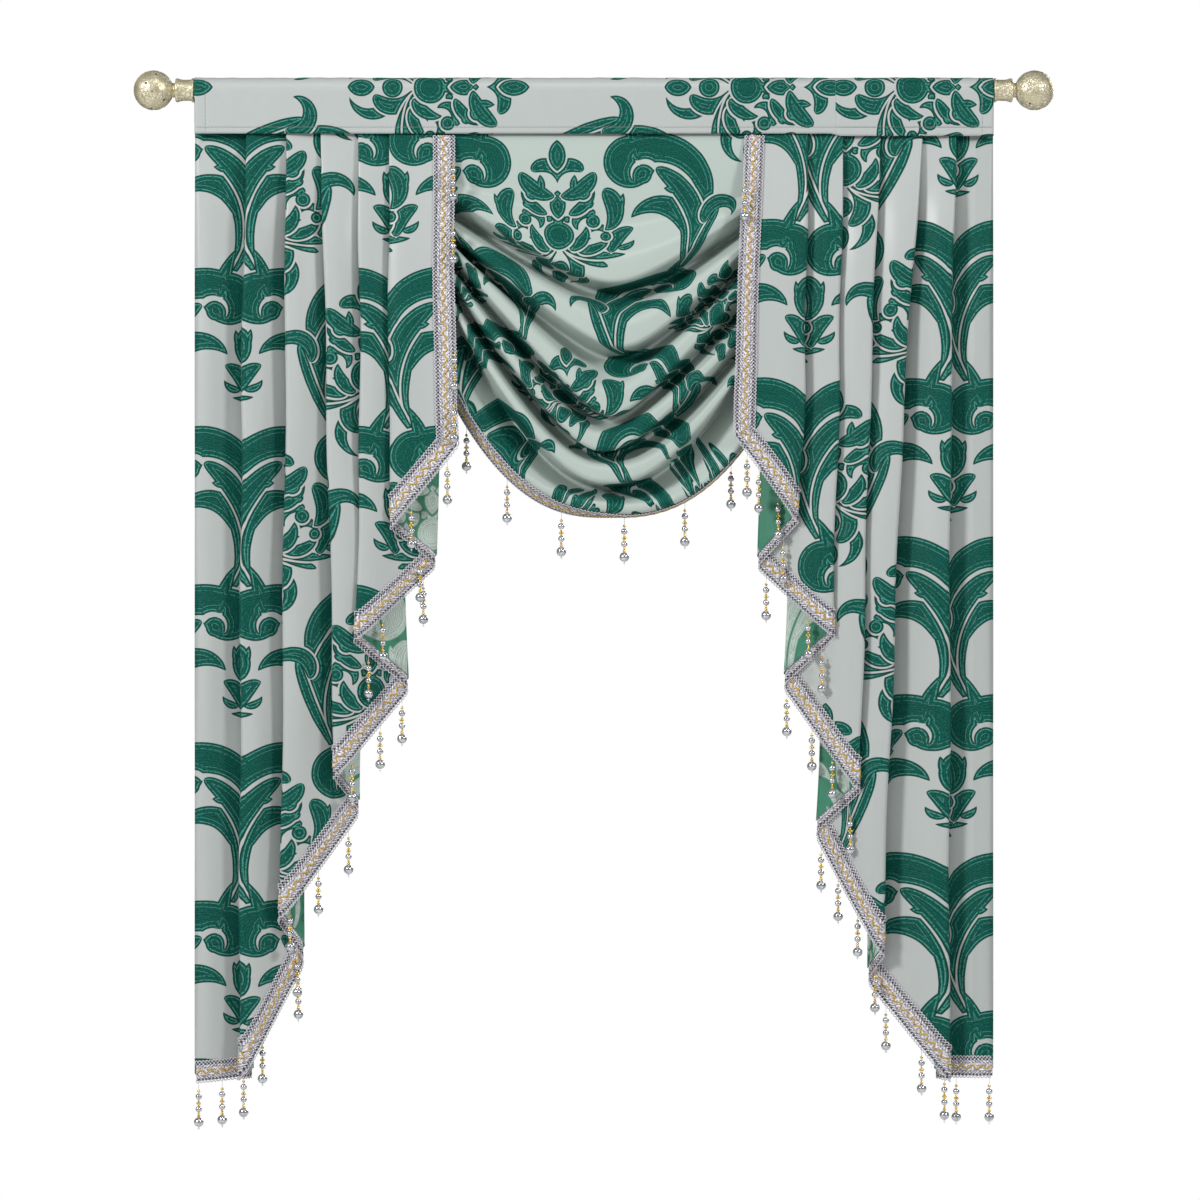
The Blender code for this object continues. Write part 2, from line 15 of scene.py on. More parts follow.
import bpy
import numpy as np
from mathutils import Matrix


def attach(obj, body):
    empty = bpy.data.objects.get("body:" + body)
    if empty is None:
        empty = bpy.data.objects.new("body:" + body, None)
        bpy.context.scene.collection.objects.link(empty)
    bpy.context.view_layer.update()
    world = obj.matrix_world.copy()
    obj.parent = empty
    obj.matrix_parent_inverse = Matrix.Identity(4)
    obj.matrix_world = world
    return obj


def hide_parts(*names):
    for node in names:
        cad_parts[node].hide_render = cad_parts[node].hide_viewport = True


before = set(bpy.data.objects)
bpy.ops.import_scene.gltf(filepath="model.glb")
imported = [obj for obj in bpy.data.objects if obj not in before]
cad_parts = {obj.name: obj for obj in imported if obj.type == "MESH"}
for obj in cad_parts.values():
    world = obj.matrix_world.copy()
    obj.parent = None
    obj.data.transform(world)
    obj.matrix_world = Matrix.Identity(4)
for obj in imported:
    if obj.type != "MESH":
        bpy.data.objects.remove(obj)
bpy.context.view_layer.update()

LOG = logging.getLogger("drape")

MM = 0.001
TURN = 2 * math.pi
HALF_WIDTH = 500.0
POLE_RADIUS = 14.0
CLOTH = 1.0  # its thickness
SEAM_DROP = 55.0
TOP_DROP = 47.0  # where the tails and the swag begin, inside the sleeve
BRAID_WIDTH = 24.0
BRAID_OVERHANG = 10.0  # how far the braid reaches past the cloth's edge
BRAID_OFFSET = 1.9  # from the middle of the cloth to the middle of the tape
PICOT_PITCH = 4.5
OPENED_DROP = 390.0  # where the tails' folds stop opening out
COLUMN = 245.0  # between the damask's columns of palmettes
REPEAT_HEIGHT = 396.0

Colour = tuple[float, float, float, float]
Pair = tuple[float, float]
Array = np.ndarray
Piece = bpy.types.Object
Material = bpy.types.Material
Socket = bpy.types.NodeSocket


def rgb(code: str) -> Colour:
    """Turns a six-digit sRGB code into a linear colour.

    Args:
        code: Six hexadecimal digits.

    Returns:
        Red, green, blue and an alpha of one.
    """
    parts = [int(code[k : k + 2], 16) / 255 for k in (0, 2, 4)]
    linear = [p / 12.92 if p <= 0.04045 else ((p + 0.055) / 1.055) ** 2.4 for p in parts]
    return (linear[0], linear[1], linear[2], 1.0)


# ------------------------------------------------------------------ shader expressions


def adds(operation: str) -> Callable[["Term", Any], "Term"]:
    """A method that adds one Math node of this operation."""
    return lambda term, other: term.math(operation, other)


@dataclass(frozen=True)
class Term:
    """A number that varies over a surface: a socket of a shader. Arithmetic on it adds Math nodes."""

    shader: "Shader"
    socket: Socket

    __add__ = __radd__ = adds("ADD")
    __sub__ = adds("SUBTRACT")
    __mul__ = __rmul__ = adds("MULTIPLY")
    lesser = adds("MINIMUM")
    greater = adds("MAXIMUM")

    def math(self, operation: str, *others: Any, clamp: bool = False) -> "Term":
        """Adds one Math node.

        Args:
            operation: The Math node's operation.
            others: The second and third operands.
            clamp: Whether the result is held between 0 and 1.

        Returns:
            The node's result.
        """
        settings = {"operation": operation, "use_clamp": clamp}
        return self.shader.term("ShaderNodeMath", settings, dict(enumerate((self, *others))))

    def __rsub__(self, other: float) -> "Term":
        """A plain number less this one."""
        return self.math("MULTIPLY_ADD", -1.0, other)

    def __pow__(self, power: float) -> "Term":
        """This number to a power; a square root where the power is a half."""
        return self.math("SQRT") if power == 0.5 else self.math("POWER", power)

    def __neg__(self) -> "Term":
        """Minus this number."""
        return self.math("MULTIPLY", -1.0)

    def __abs__(self) -> "Term":
        """Its size without its sign."""
        return self.math("ABSOLUTE")

    def sine(self) -> "Term":
        """Its sine."""
        return self.math("SINE")

    def wrap(self, low: float, high: float) -> "Term":
        """Repeats the stretch from low to high for ever."""
        return self.math("WRAP", high, low)

    def ramp(self, low: float, high: float) -> "Term":
        """0 at low, 1 at high, straight between and held beyond."""
        return self.math("MULTIPLY_ADD", 1 / (high - low), -low / (high - low), clamp=True)

    def band(self, centre: float, half: float, soft: float) -> "Term":
        """1 within half of centre, falling to 0 over soft."""
        return abs(self - centre).ramp(half + soft, half)


class Shader:
    """One material's node tree, or one shared group's, with one method that adds every node."""

    def __init__(self, name: str, group: bool = False) -> None:
        """Makes an empty material with its output node, or an empty group.

        Args:
            name: Name of the material or group.
            group: Whether it is a node group.
        """
        if group:
            self.tree = bpy.data.node_groups.new(name, "ShaderNodeTree")
            return
        self.material = bpy.data.materials.new(name)
        self.material.use_nodes = True
        self.tree = self.material.node_tree
        self.tree.nodes.clear()
        self.output = self.tree.nodes.new("ShaderNodeOutputMaterial")

    def takes(self, names: Sequence[str], kind: str = "NodeSocketFloat") -> list[Term]:
        """Gives a group its inputs and returns them as terms."""
        for name in names:
            self.tree.interface.new_socket(name=name, in_out="INPUT", socket_type=kind)
        return [Term(self, self.node("NodeGroupInput").outputs[name]) for name in names]

    def gives(self, name: str, value: Term) -> None:
        """Gives a group one output."""
        self.tree.interface.new_socket(name=name, in_out="OUTPUT", socket_type="NodeSocketFloat")
        self.node("NodeGroupOutput", None, {name: value})

    def node(self, kind: str, settings: dict | None = None, inputs: dict | None = None) -> Any:
        """Adds a node.

        Args:
            kind: The node's type.
            settings: Attributes to set before its sockets.
            inputs: Socket names or numbers, each with a value, a Term or a socket.

        Returns:
            The node.
        """
        node = self.tree.nodes.new(kind)
        for name, value in (settings or {}).items():
            setattr(node, name, value)
        for name, value in (inputs or {}).items():
            source = value.socket if isinstance(value, Term) else value
            if isinstance(source, Socket):
                self.tree.links.new(source, node.inputs[name])
            else:
                node.inputs[name].default_value = source
        return node

    def term(self, kind: str, settings: dict | None, inputs: dict, output: Any = 0) -> Term:
        """Adds a node and wraps one of its outputs."""
        return Term(self, self.node(kind, settings, inputs).outputs[output])

    def split(self, vector: Socket) -> tuple[Term, Term, Term]:
        """The three numbers of a vector."""
        parts = self.node("ShaderNodeSeparateXYZ", None, {0: vector})
        return tuple(Term(self, parts.outputs[k]) for k in range(3))

    def join(self, x: Any, y: Any, z: Any = 0.0) -> Socket:
        """A vector of three numbers."""
        return self.node("ShaderNodeCombineXYZ", None, {0: x, 1: y, 2: z}).outputs[0]

    def flat_place(self) -> tuple[Term, Term]:
        """The place on the flat cloth, in millimetres, from the piece's own UV map."""
        across, along, _ = self.split(self.node("ShaderNodeUVMap", {"uv_map": "UVMap"}).outputs[0])
        return across * 1000.0, along * 1000.0

    def object_place(self) -> Socket:
        """Object coordinates, in metres."""
        return self.node("ShaderNodeTexCoord").outputs["Object"]

    def noise(self, vector: Any, scale: float, detail: float = 2.0, roughness: float = 0.5) -> Term:
        """Smooth noise from 0 to 1 around a half."""
        inputs = {"Vector": vector, "Scale": scale, "Detail": detail, "Roughness": roughness}
        return self.term("ShaderNodeTexNoise", None, inputs, "Fac")

    def measure(self, operation: str, vector: Socket, x: float, y: float) -> Term:
        """One number from a vector and the fixed vector (x, y, 0), such as their distance."""
        inputs = {0: vector, 1: (x, y, 0)}
        return self.term("ShaderNodeVectorMath", {"operation": operation}, inputs, 1)

    def cells(self, feature: str, vector: Socket, scale: float) -> Term:
        """A distance in a net of random cells, to a cell's point or to its edge."""
        inputs = {"Vector": vector, "Scale": scale}
        return self.term("ShaderNodeTexVoronoi", {"feature": feature}, inputs)

    def mix(self, share: Any, first: Any, second: Any) -> Socket:
        """A colour between two colours."""
        node = self.node("ShaderNodeMix", {"data_type": "RGBA"}, {0: share, 6: first, 7: second})
        return node.outputs[2]

    def bump(self, height: Term, distance: float, strength: float = 1.0) -> Socket:
        """A normal tilted by a height, given the height's size in metres."""
        inputs = {"Height": height, "Distance": distance, "Strength": strength}
        return self.node("ShaderNodeBump", None, inputs).outputs[0]

    def surface(self, inputs: dict[str, Any]) -> Material:
        """Ends the tree in a Principled BSDF.

        Args:
            inputs: Values for the sockets of the surface, by name.

        Returns:
            The finished material.
        """
        shader = self.node("ShaderNodeBsdfPrincipled", None, inputs)
        self.tree.links.new(shader.outputs[0], self.output.inputs[0])
        return self.material


# ------------------------------------------------------------------ the damask


class Join(Enum):
    """How an element of the pattern meets what is drawn already."""

    OVER = "over"  # it lies on top, with a pale gap round it
    WITH = "with"  # it runs into the element before it
    CUT = "cut"  # it is cut out of the element before it
    MELT = "melt"  # it runs into everything drawn so far


class Element:
    """One shape of the pattern."""

    def distance(self, shader: Shader, place: Socket) -> Term:
        """The signed distance to the shape's edge.

        Args:
            shader: The tree to draw in.
            place: Place in the folded half column, in millimetres.

        Returns:
            Distance to the outline, negative inside.
        """
        raise NotImplementedError


@dataclass(frozen=True)
class Leaf(Element):
    """A leaf or stroke along a circular arc through three points of the repeat's half, in millimetres.

    Its half-width at the share t of its length is width * t**rise * (1 - t)**fall, scaled to peak at
    width.
    """

    start: Pair
    middle: Pair
    end: Pair
    width: float
    rise: float = 0.7
    fall: float = 0.9
    join: Join = Join.OVER

    def beyond(self) -> "Leaf":
        """The same leaf as seen from the next column, which hangs a half repeat lower."""
        points = [(COLUMN - x, y - REPEAT_HEIGHT / 2) for x, y in (self.start, self.middle, self.end)]
        return Leaf(*points, self.width, self.rise, self.fall, self.join)

    def distance(self, shader: Shader, place: Socket) -> Term:
        """How far the place lies off the arc, plus how far past its ends, less the half-width there."""
        (ax, ay), (bx, by), (cx, cy) = self.start, self.middle, self.end
        cross = 2 * (ax * (by - cy) + bx * (cy - ay) + cx * (ay - by))
        a2, b2, c2 = ax * ax + ay * ay, bx * bx + by * by, cx * cx + cy * cy
        ox = (a2 * (by - cy) + b2 * (cy - ay) + c2 * (ay - by)) / cross
        oy = (a2 * (cx - bx) + b2 * (ax - cx) + c2 * (bx - ax)) / cross
        radius = math.hypot(ax - ox, ay - oy)
        first, last = math.atan2(ay - oy, ax - ox), math.atan2(cy - oy, cx - ox)
        sweep = math.remainder(last - first, TURN)
        if cross * sweep < 0:
            sweep += math.copysign(TURN, cross)
        mid = first + sweep / 2
        out, up = (math.cos(mid), math.sin(mid)), (-math.sin(mid), math.cos(mid))
        reach = shader.measure("DISTANCE", place, ox, oy)
        ahead = shader.measure("DOT_PRODUCT", place, *out)
        aside = shader.measure("DOT_PRODUCT", place, *up)
        turn = (aside - (ox * up[0] + oy * up[1])).math("ARCTAN2", ahead - (ox * out[0] + oy * out[1]))
        share = turn.math("MULTIPLY_ADD", 1 / sweep, 0.5)
        held = share.math("MULTIPLY_ADD", 1.0, 0.0, clamp=True)
        beyond = abs(share - held) * (radius * abs(sweep))
        top = self.rise / (self.rise + self.fall)
        scale = self.width / (top**self.rise * (1 - top) ** self.fall)
        half = held**self.rise * (1 - held) ** self.fall * scale
        return abs(reach - radius) + beyond - half


@dataclass(frozen=True)
class Disc(Element):
    """A round bud or curl end."""

    centre: Pair
    radius: float
    join: Join = Join.OVER

    def distance(self, shader: Shader, place: Socket) -> Term:
        """The distance to the centre less the radius."""
        return shader.measure("DISTANCE", place, *self.centre) - self.radius


@dataclass(frozen=True)
class Lozenge(Element):
    """A pointed bud on the palmette's line of symmetry: half of two crossing circles."""

    centre: float
    half_height: float
    half_width: float
    join: Join = Join.OVER

    def distance(self, shader: Shader, place: Socket) -> Term:
        """The distance to the rim of a circle whose centre lies past the line of symmetry."""
        radius = (self.half_height**2 + self.half_width**2) / (2 * self.half_width)
        return shader.measure("DISTANCE", place, self.half_width - radius, self.centre) - radius


class Damask:
    """Columns of palmettes in a half-drop, each in an ogee of long scrolled leaves."""

    HALO = 2.4
    BLOSSOM = (
        # palmette, from its foot to its top bud
        Leaf((21, -93), (33, -113), (12, -144), 7.6, 0.35, 0.9),
        Lozenge(-129, 17.0, 11.5),
        Leaf((4, -66), (22, -80), (9, -112), 10.5, 0.7, 0.5),
        Leaf((15, -76), (25, -80), (31, -89), 5.6, 0.5, 0.7, Join.WITH),
        Disc((0, -90), 13.0, Join.WITH),
        Leaf((8, -64), (36, -76), (64, -86), 6.4, 0.7, 0.6),
        Leaf((6, -62), (46, -71), (86, -70), 6.2, 0.6, 0.7),
        Leaf((68, -68), (74, -46), (96, -30), 10.4, 0.5, 0.6),
        Leaf((76, -60), (90, -57), (97, -48), 5.0, 0.6, 0.9, Join.WITH),
        Leaf((24, -65), (44, -63), (64, -48), 7.4, 0.6, 0.7),
        Leaf((38, -44), (50, -29), (64, -37), 5.4, 0.6, 0.3),
        Disc((61, -43), 7.0, Join.WITH),
        Leaf((14, -63), (31, -50), (36, -28), 8.4, 0.5, 0.8),
        Leaf((26, -52), (36, -48), (43, -46), 3.6, 0.6, 0.9, Join.WITH),
        Disc((0, -43), 20.5),
        Leaf((6, -30), (2, -20), (9, -14), 5.4, 0.5, 0.4, Join.WITH),
        Disc((12, -19), 5.0, Join.WITH),
        Leaf((26, -34), (29, -12), (47, -13), 7.2, 0.7, 0.35),
        Disc((45, -21), 9.0, Join.WITH),
        Leaf((60, -33), (73, -8), (57, 18), 12.0, 0.7, 0.45),
        Leaf((66, -18), (78, -2), (83, 15), 6.6, 0.5, 0.8, Join.WITH),
        Leaf((14, -12), (34, 0), (47, 19), 7.6, 0.6, 0.8),
        Leaf((34, 0), (42, 0), (46, 4), 4.0, 0.6, 0.9, Join.WITH),
        Lozenge(0, 18.5, 10.5),
        Leaf((4, 11), (28, 18), (47, 41), 10.6, 0.6, 0.5),
        Leaf((20, 16), (21, 28), (22, 38), 5.4, 0.7, 0.9, Join.WITH),
        Leaf((26, 12), (36, 12), (40, 20), 4.6, 0.7, 0.9, Join.WITH),
        Leaf((-1, 26), (11, 49), (32, 42), 9.0, 0.7, 0.45),
        Lozenge(62, 19.5, 11.0),
    )
    HEAD = (
        # scroll head on its long leaf, with the knot that the leaves above it grow from
        Leaf((84, 60), (150, 67), (187, -6), 20.0, 0.08, 0.45),
        Disc((91, 54), 33.0, Join.WITH),
        Leaf((124, 45), (101, 52), (95, 31), 3.6, 0.12, 0.8, Join.CUT),
        Leaf((104, 50), (100, 56), (98, 63), 2.2, 0.4, 0.9, Join.CUT),
        Disc((107.5, 38), 11.8, Join.WITH),
        Leaf((103, 56), (96, 84), (80, 118), 10.0, 0.3, 0.9, Join.MELT),
    )
    SPRAY = (
        # the long leaf's lower end and the leaves that rise inside and outside it
        Leaf((184, 12), (185, -48), (147, -126), 9.4, 0.1, 0.5, Join.WITH),
        Leaf((150, -124), (168, -62), (158, -24), 6.8, 0.6, 0.3),
        Leaf((166, -42), (142, -3), (93, -16), 14.0, 0.4, 0.75, Join.WITH),
        Leaf((150, -124), (179, -24), (124, 46), 13.0, 1.3, 0.5),
        Leaf((150, 18), (142, 20), (134, 21), 5.0, 0.5, 0.9, Join.WITH),
        Leaf((149, -126), (188, -60), (206, -4), 6.5, 0.7, 0.35),
        Leaf((192, -26), (206, 4), (233, -16), 10.0, 0.5, 0.8, Join.WITH),
    )

    @classmethod
    def group(cls) -> bpy.types.NodeTree:
        """The pattern's distance field as one group that every cloth shares."""
        if "damask" not in bpy.data.node_groups:
            shader = Shader("damask", group=True)
            across, up = shader.takes(("Across", "Up"))
            shader.gives("Distance", cls.draw(shader, across, up))
        return bpy.data.node_groups["damask"]

    @classmethod
    def draw(cls, shader: Shader, across: Term, up: Term) -> Term:
        """Draws the columns of blossoms, each a half repeat lower than its neighbours.

        The half of a column nearer the next one is folded back: x becomes COLUMN - x and y drops a half
        repeat. Long leaves cross that line, so they are drawn again as seen from the next column.
        Each element's distance s joins the total T so far: T = min(s, max(T, halo - s)) lays it over
        with a gap, T = min(s, T) runs it in, and T = max(T, -s) cuts it out.

        Args:
            shader: The material's node tree.
            across: The place across the cloth, in millimetres from a palmette's line of symmetry.
            up: The place up the cloth, in millimetres from the palmette's middle bud.

        Returns:
            The signed distance to the pattern's edge in millimetres, negative in the pattern.
        """
        mirrored = abs(across.wrap(-COLUMN, COLUMN))
        far = mirrored.math("GREATER_THAN", COLUMN / 2)
        folded = abs(far * COLUMN - mirrored)
        dropped = up - far * (REPEAT_HEIGHT / 2)
        beyond = tuple(element.beyond() for element in (*cls.HEAD[:1], *cls.SPRAY))
        crossing = (*cls.HEAD, *cls.SPRAY[1:5])
        total = None
        for elements, bottom in ((beyond, -402.0), (crossing, -203.0), (cls.BLOSSOM, -203.0)):
            place = shader.join(folded, dropped.wrap(bottom, bottom + REPEAT_HEIGHT))
            group = None
            for element in elements:
                s = element.distance(shader, place)
                if element.join is Join.CUT:
                    group = group.greater(-s)
                    continue
                if element.join is Join.WITH:
                    group = group.lesser(s)
                    continue
                if element.join is Join.MELT:
                    total = cls.lay(total, group).lesser(s)
                    group = None
                    continue
                total = cls.lay(total, group)
                group = s
            total = cls.lay(total, group)
        return total

    @classmethod
    def lay(cls, total: Term | None, group: Term | None) -> Term | None:
        """Lays a finished group over the total, with a pale gap round it."""
        if group is None or total is None:
            return group if total is None else total
        return group.lesser(total.greater(cls.HALO - group))


# ------------------------------------------------------------------ finishes


@dataclass(frozen=True)
class Finish:
    """A material of the drape."""

    name: str

    def inputs(self, shader: Shader) -> dict[str, Any]:
        """Draws the finish.

        Args:
            shader: The material's empty tree.

        Returns:
            What each socket of its surface takes.
        """
        raise NotImplementedError

    def build(self) -> Material:
        """Its finished material."""
        shader = Shader(self.name)
        return shader.surface(self.inputs(shader))


@dataclass(frozen=True)
class DamaskCloth(Finish):
    """Woven damask: satin ground, ribbed figure with a dark outline and fine light contours."""

    ground: str = "b5bab8"
    figure: str = "00564b"
    outline: str = "022e24"
    contour: str = "5f9f92"
    turned: bool = False  # the pattern runs sideways
    across_origin: float = 0.0
    along_origin: float = 0.0
    hem: float = 1e6  # beyond this place across, the cloth is doubled by its side hem and painted darker there as shade

    def inputs(self, shader: Shader) -> dict[str, Any]:
        """Paints the figure by its distance field d, then adds streaks, painted shade on the doubled
        side hem, weave and satin sheen.
        """
        across, along = shader.flat_place()
        if self.turned:
            field_across, field_up = along - self.along_origin, across - self.across_origin
        else:
            field_across, field_up = across - self.across_origin, self.along_origin - along
        waver = shader.noise(shader.join(across * 0.05, along * 0.05), 1.0, 3.0) - 0.5
        field = {"Across": field_across, "Up": field_up}
        d = shader.term("ShaderNodeGroup", {"node_tree": Damask.group()}, field) + waver * 1.2
        fine = shader.noise(shader.join(across * 0.35, along * 0.35), 1.0, 2.0)
        streak = shader.noise(shader.join(across * 1.4, along * 0.03), 1.0, 2.0)
        thread = shader.noise(shader.join(across * 0.9, along * 2.6), 1.0, 1.0)
        figure = d.ramp(0.35, -0.35)
        line = d.band(-0.7, 0.55, 0.5)
        veins = d.band(-3.1, 0.3, 0.45).greater(d.band(-8.2, 0.2, 0.5) * 0.7)
        contour = veins * fine.ramp(0.36, 0.50)
        hatch = ((d * 2.3 + waver * 14.0).sine() * 0.5 + 0.5) * d.ramp(-3.4, -5.0)
        # painted shade: the strip doubled by the side hem is mixed towards the grey of the streaks, as
        # the doubled cloth lets less light through
        doubled_hem_shade = across.ramp(self.hem - 0.4, self.hem + 0.4) * 0.35
        ground = shader.mix((streak * 0.22).greater(doubled_hem_shade), rgb(self.ground), rgb("9ea5a1"))
        deep = shader.mix(hatch * 0.68, rgb(self.figure), rgb(self.outline))
        woven = shader.mix((thread * fine).ramp(0.24, 0.55) * 0.28, deep, rgb(self.contour))
        edged = shader.mix(line * 0.85, woven, rgb(self.outline))
        lit = shader.mix(contour * 0.72, edged, rgb(self.contour))
        colour = shader.mix(figure, ground, lit)
        rough = 0.36 + figure * 0.22 + streak * 0.06
        ribs = (along * 7.0 + across * 2.0).sine() * 0.5 + thread
        normal = shader.bump(ribs, 0.00006, 0.5)
        return {
            "Base Color": colour,
            "Roughness": rough,
            "Normal": normal,
            "Coat Weight": (1 - figure) * 0.4,
            "Coat Roughness": 0.32,
            "Specular IOR Level": 0.12,
        }


@dataclass(frozen=True)
class GimpBraid(Finish):
    """Silvery gimp: slanted cords with painted shade in their hollows and grooves, and a row of picot
    eyes at both edges painted near-black as shadow.
    """

    def inputs(self, shader: Shader) -> dict[str, Any]:
        """Paints cords, their painted shade and the eyes' painted shadow from the band's own map:
        along, then across from its outer edge.
        """
        along, across = shader.flat_place()
        middle = abs(across - BRAID_WIDTH / 2)
        turn = TURN / PICOT_PITCH
        slant = (along * turn + middle * 1.9).sine() * 0.5 + 0.5
        knit = (along * (turn * 2)).sine() * (across * 3.9).sine() * 0.5 + 0.5
        outer = middle.ramp(4.4, 5.0)
        cords = slant * outer + (1 - outer) * (knit * 0.5 + 0.5)
        # painted shadow: each picot eye is a hole, painted near-black as the shade inside it
        eye_shadow = (along * turn + 1.2).sine().ramp(-0.2, 0.2) * middle.band(9.6, 1.1, 0.3)
        # painted shade in the grooves between the rows of cords, at half strength
        groove = middle.band(4.7, 0.2, 0.35).greater(middle.band(8.5, 0.15, 0.3))
        dark = eye_shadow.greater(groove * 0.5)
        fleck = shader.noise(shader.join(along * 0.5, across * 0.4), 1.0, 3.0)
        pale = shader.mix(fleck.ramp(0.40, 0.58), rgb("8b8793"), rgb("fdfcff"))
        # painted shade: the colour darkens where the cords are low, in the hollows between them
        hollow_shaded_cords = shader.mix((1 - cords).ramp(0.2, 0.8) * 0.7, pale, rgb("5f5b68"))
        colour = shader.mix(dark * 0.95, hollow_shaded_cords, rgb("121218"))
        height = cords * (1 - dark) + fleck * 0.2
        return {
            "Base Color": colour,
            "Roughness": 0.5 + fleck * 0.15,
            "Normal": shader.bump(height, 0.0008, 0.8),
        }


@dataclass(frozen=True)
class SpunThread(Finish):
    """A twisted thread: metallic gold, or silvery silk."""

    light: str
    dark: str
    metallic: float
    roughness: float

    def inputs(self, shader: Shader) -> dict[str, Any]:
        """Paints the twist as slanted lines along the thread's own map."""
        along, around = shader.flat_place()
        twist = (along * 4.2 + around * 6.283).sine() * 0.5 + 0.5
        fleck = shader.noise(shader.join(along * 0.6, around), 1.0, 2.0)
        return {
            "Base Color": shader.mix(twist * 0.6 + fleck * 0.3, rgb(self.light), rgb(self.dark)),
            "Roughness": self.roughness + fleck * 0.1,
            "Metallic": self.metallic,
            "Normal": shader.bump(twist, 0.0002, 0.6),
        }


@dataclass(frozen=True)
class BeadFinish(Finish):
    """A glossy bead with a faint cloud in its colour."""

    light: str
    dark: str
    metallic: float
    roughness: float
    coat: float

    def inputs(self, shader: Shader) -> dict[str, Any]:
        """Clouds the colour with noise."""
        cloud = shader.noise(shader.object_place(), 260.0, 2.0).ramp(0.35, 0.7)
        return {
            "Base Color": shader.mix(cloud, rgb(self.light), rgb(self.dark)),
            "Roughness": self.roughness + cloud * 0.06,
            "Metallic": self.metallic,
            "Coat Weight": self.coat,
            "Coat Roughness": 0.05,
        }


@dataclass(frozen=True)
class HammeredBrass(Finish):
    """Champagne-gold metal, hammered and crazed, with dark patina in its low places."""

    relief: float = 0.0009

    def inputs(self, shader: Shader) -> dict[str, Any]:
        """Paints beaten cells, a crazed net of fine veins and a few dark pits."""
        place = shader.object_place()
        warp = shader.noise(place, 60.0, 4.0, 0.6)
        beaten = shader.cells("SMOOTH_F1", place, 150.0)
        veins = shader.cells("DISTANCE_TO_EDGE", place, 210.0)
        pits = shader.cells("F1", place, 70.0)
        craze = veins.ramp(0.16, 0.02) * warp.ramp(0.40, 0.60)
        pit = pits.ramp(0.13, 0.08)
        fine = shader.noise(place, 420.0, 3.0)
        base = shader.mix(warp.ramp(0.32, 0.68), rgb("beb491"), rgb("f3ebcd"))
        worn = shader.mix(fine.ramp(0.5, 0.75) * 0.5, base, rgb("fbf5e2"))
        aged = shader.mix(craze * 0.55, worn, rgb("5c523f"))
        colour = shader.mix(pit, aged, rgb("17130f"))
        height = beaten * 0.7 + fine * 0.35 - craze * 0.5 - pit * 1.5 + warp
        return {
            "Base Color": colour,
            "Roughness": 0.30 + warp * 0.18 + craze * 0.2,
            "Metallic": 0.6,
            "Normal": shader.bump(height, self.relief, 0.9),
        }


# ------------------------------------------------------------------ surfaces


def smooth_share(value: Array) -> Array:
    """An S-curve from 0 to 1: 3t^2 - 2t^3 of the value held between 0 and 1."""
    t = np.clip(value, 0.0, 1.0)
    return t * t * (3 - 2 * t)


def lengths_along(points: Array) -> Array:
    """Distance along a path from its first point, for points in rows."""
    steps = np.linalg.norm(np.diff(points, axis=0), axis=-1)
    return np.concatenate([np.zeros((1, *steps.shape[1:])), np.cumsum(steps, axis=0)])


def unit(vectors: Array) -> Array:
    """Vectors with a length of one."""
    return vectors / np.maximum(np.linalg.norm(vectors, axis=-1, keepdims=True), 1e-9)


def grid_normals(grid: Array) -> Array:
    """Unit normals of a grid surface: across its columns turned into down its rows."""
    return unit(np.cross(np.gradient(grid, axis=1), np.gradient(grid, axis=0)))


def locate(knots: Array, values: Array) -> tuple[Array, Array]:
    """The interval of rising knots that each value lies in, and its share of it as a last axis."""
    i = np.clip(np.searchsorted(knots, values) - 1, 0, len(knots) - 2)
    return i, ((values - knots[i]) / (knots[i + 1] - knots[i]))[..., None]


def read_table(
    points: Array, normals: Array, row: tuple[Array, Array], column: tuple[Array, Array]
) -> tuple[Array, Array]:
    """Reads a surface between its grid points, straight between neighbours.

    Args:
        points: Rows by columns by three.
        normals: The normals there.
        row: Row before each place and the share of the step to the next, as locate gives them.
        column: The same for the columns.

    Returns:
        Points and unit normals.
    """
    (i, f), (j, g) = row, column
    found = []
    for table in (points, normals):
        near = table[i, j] * (1 - g) + table[i, j + 1] * g
        far = table[i + 1, j] * (1 - g) + table[i + 1, j + 1] * g
        found.append(near * (1 - f) + far * f)
    return found[0], unit(found[1])


def grid_quads(rows: int, columns: int, close: bool = False) -> Array:
    """Corner numbers of a grid's faces; close joins the last column to the first.

    Args:
        rows: Rows of points.
        columns: Points in a row.
        close: Whether each row joins its own start.

    Returns:
        Four point numbers a face.
    """
    last = columns if close else columns - 1
    r, c = np.meshgrid(np.arange(rows - 1), np.arange(last), indexing="ij")
    a = r * columns + c
    b = r * columns + (c + 1) % columns
    return np.stack([a, a + columns, b + columns, b], axis=-1).reshape(-1, 4)


def trace(at: Any, places: Array, line: Array) -> Array:
    """Points of a line where a measure that rises along it has the given values."""
    return np.stack([np.interp(at, places, line[:, k]) for k in range(3)], axis=1)


def with_x(x: Array, points: Array) -> Array:
    """Points of sections across the pole, a row each, with the section's X put first."""
    return np.concatenate([np.broadcast_to(x[:, None, None], (*points.shape[:2], 1)), points], axis=2)


def link(name: str, data: Any) -> Piece:
    """Makes an object of some data and links it to the scene."""
    made = bpy.data.objects.new(name, data)
    bpy.context.scene.collection.objects.link(made)
    return made


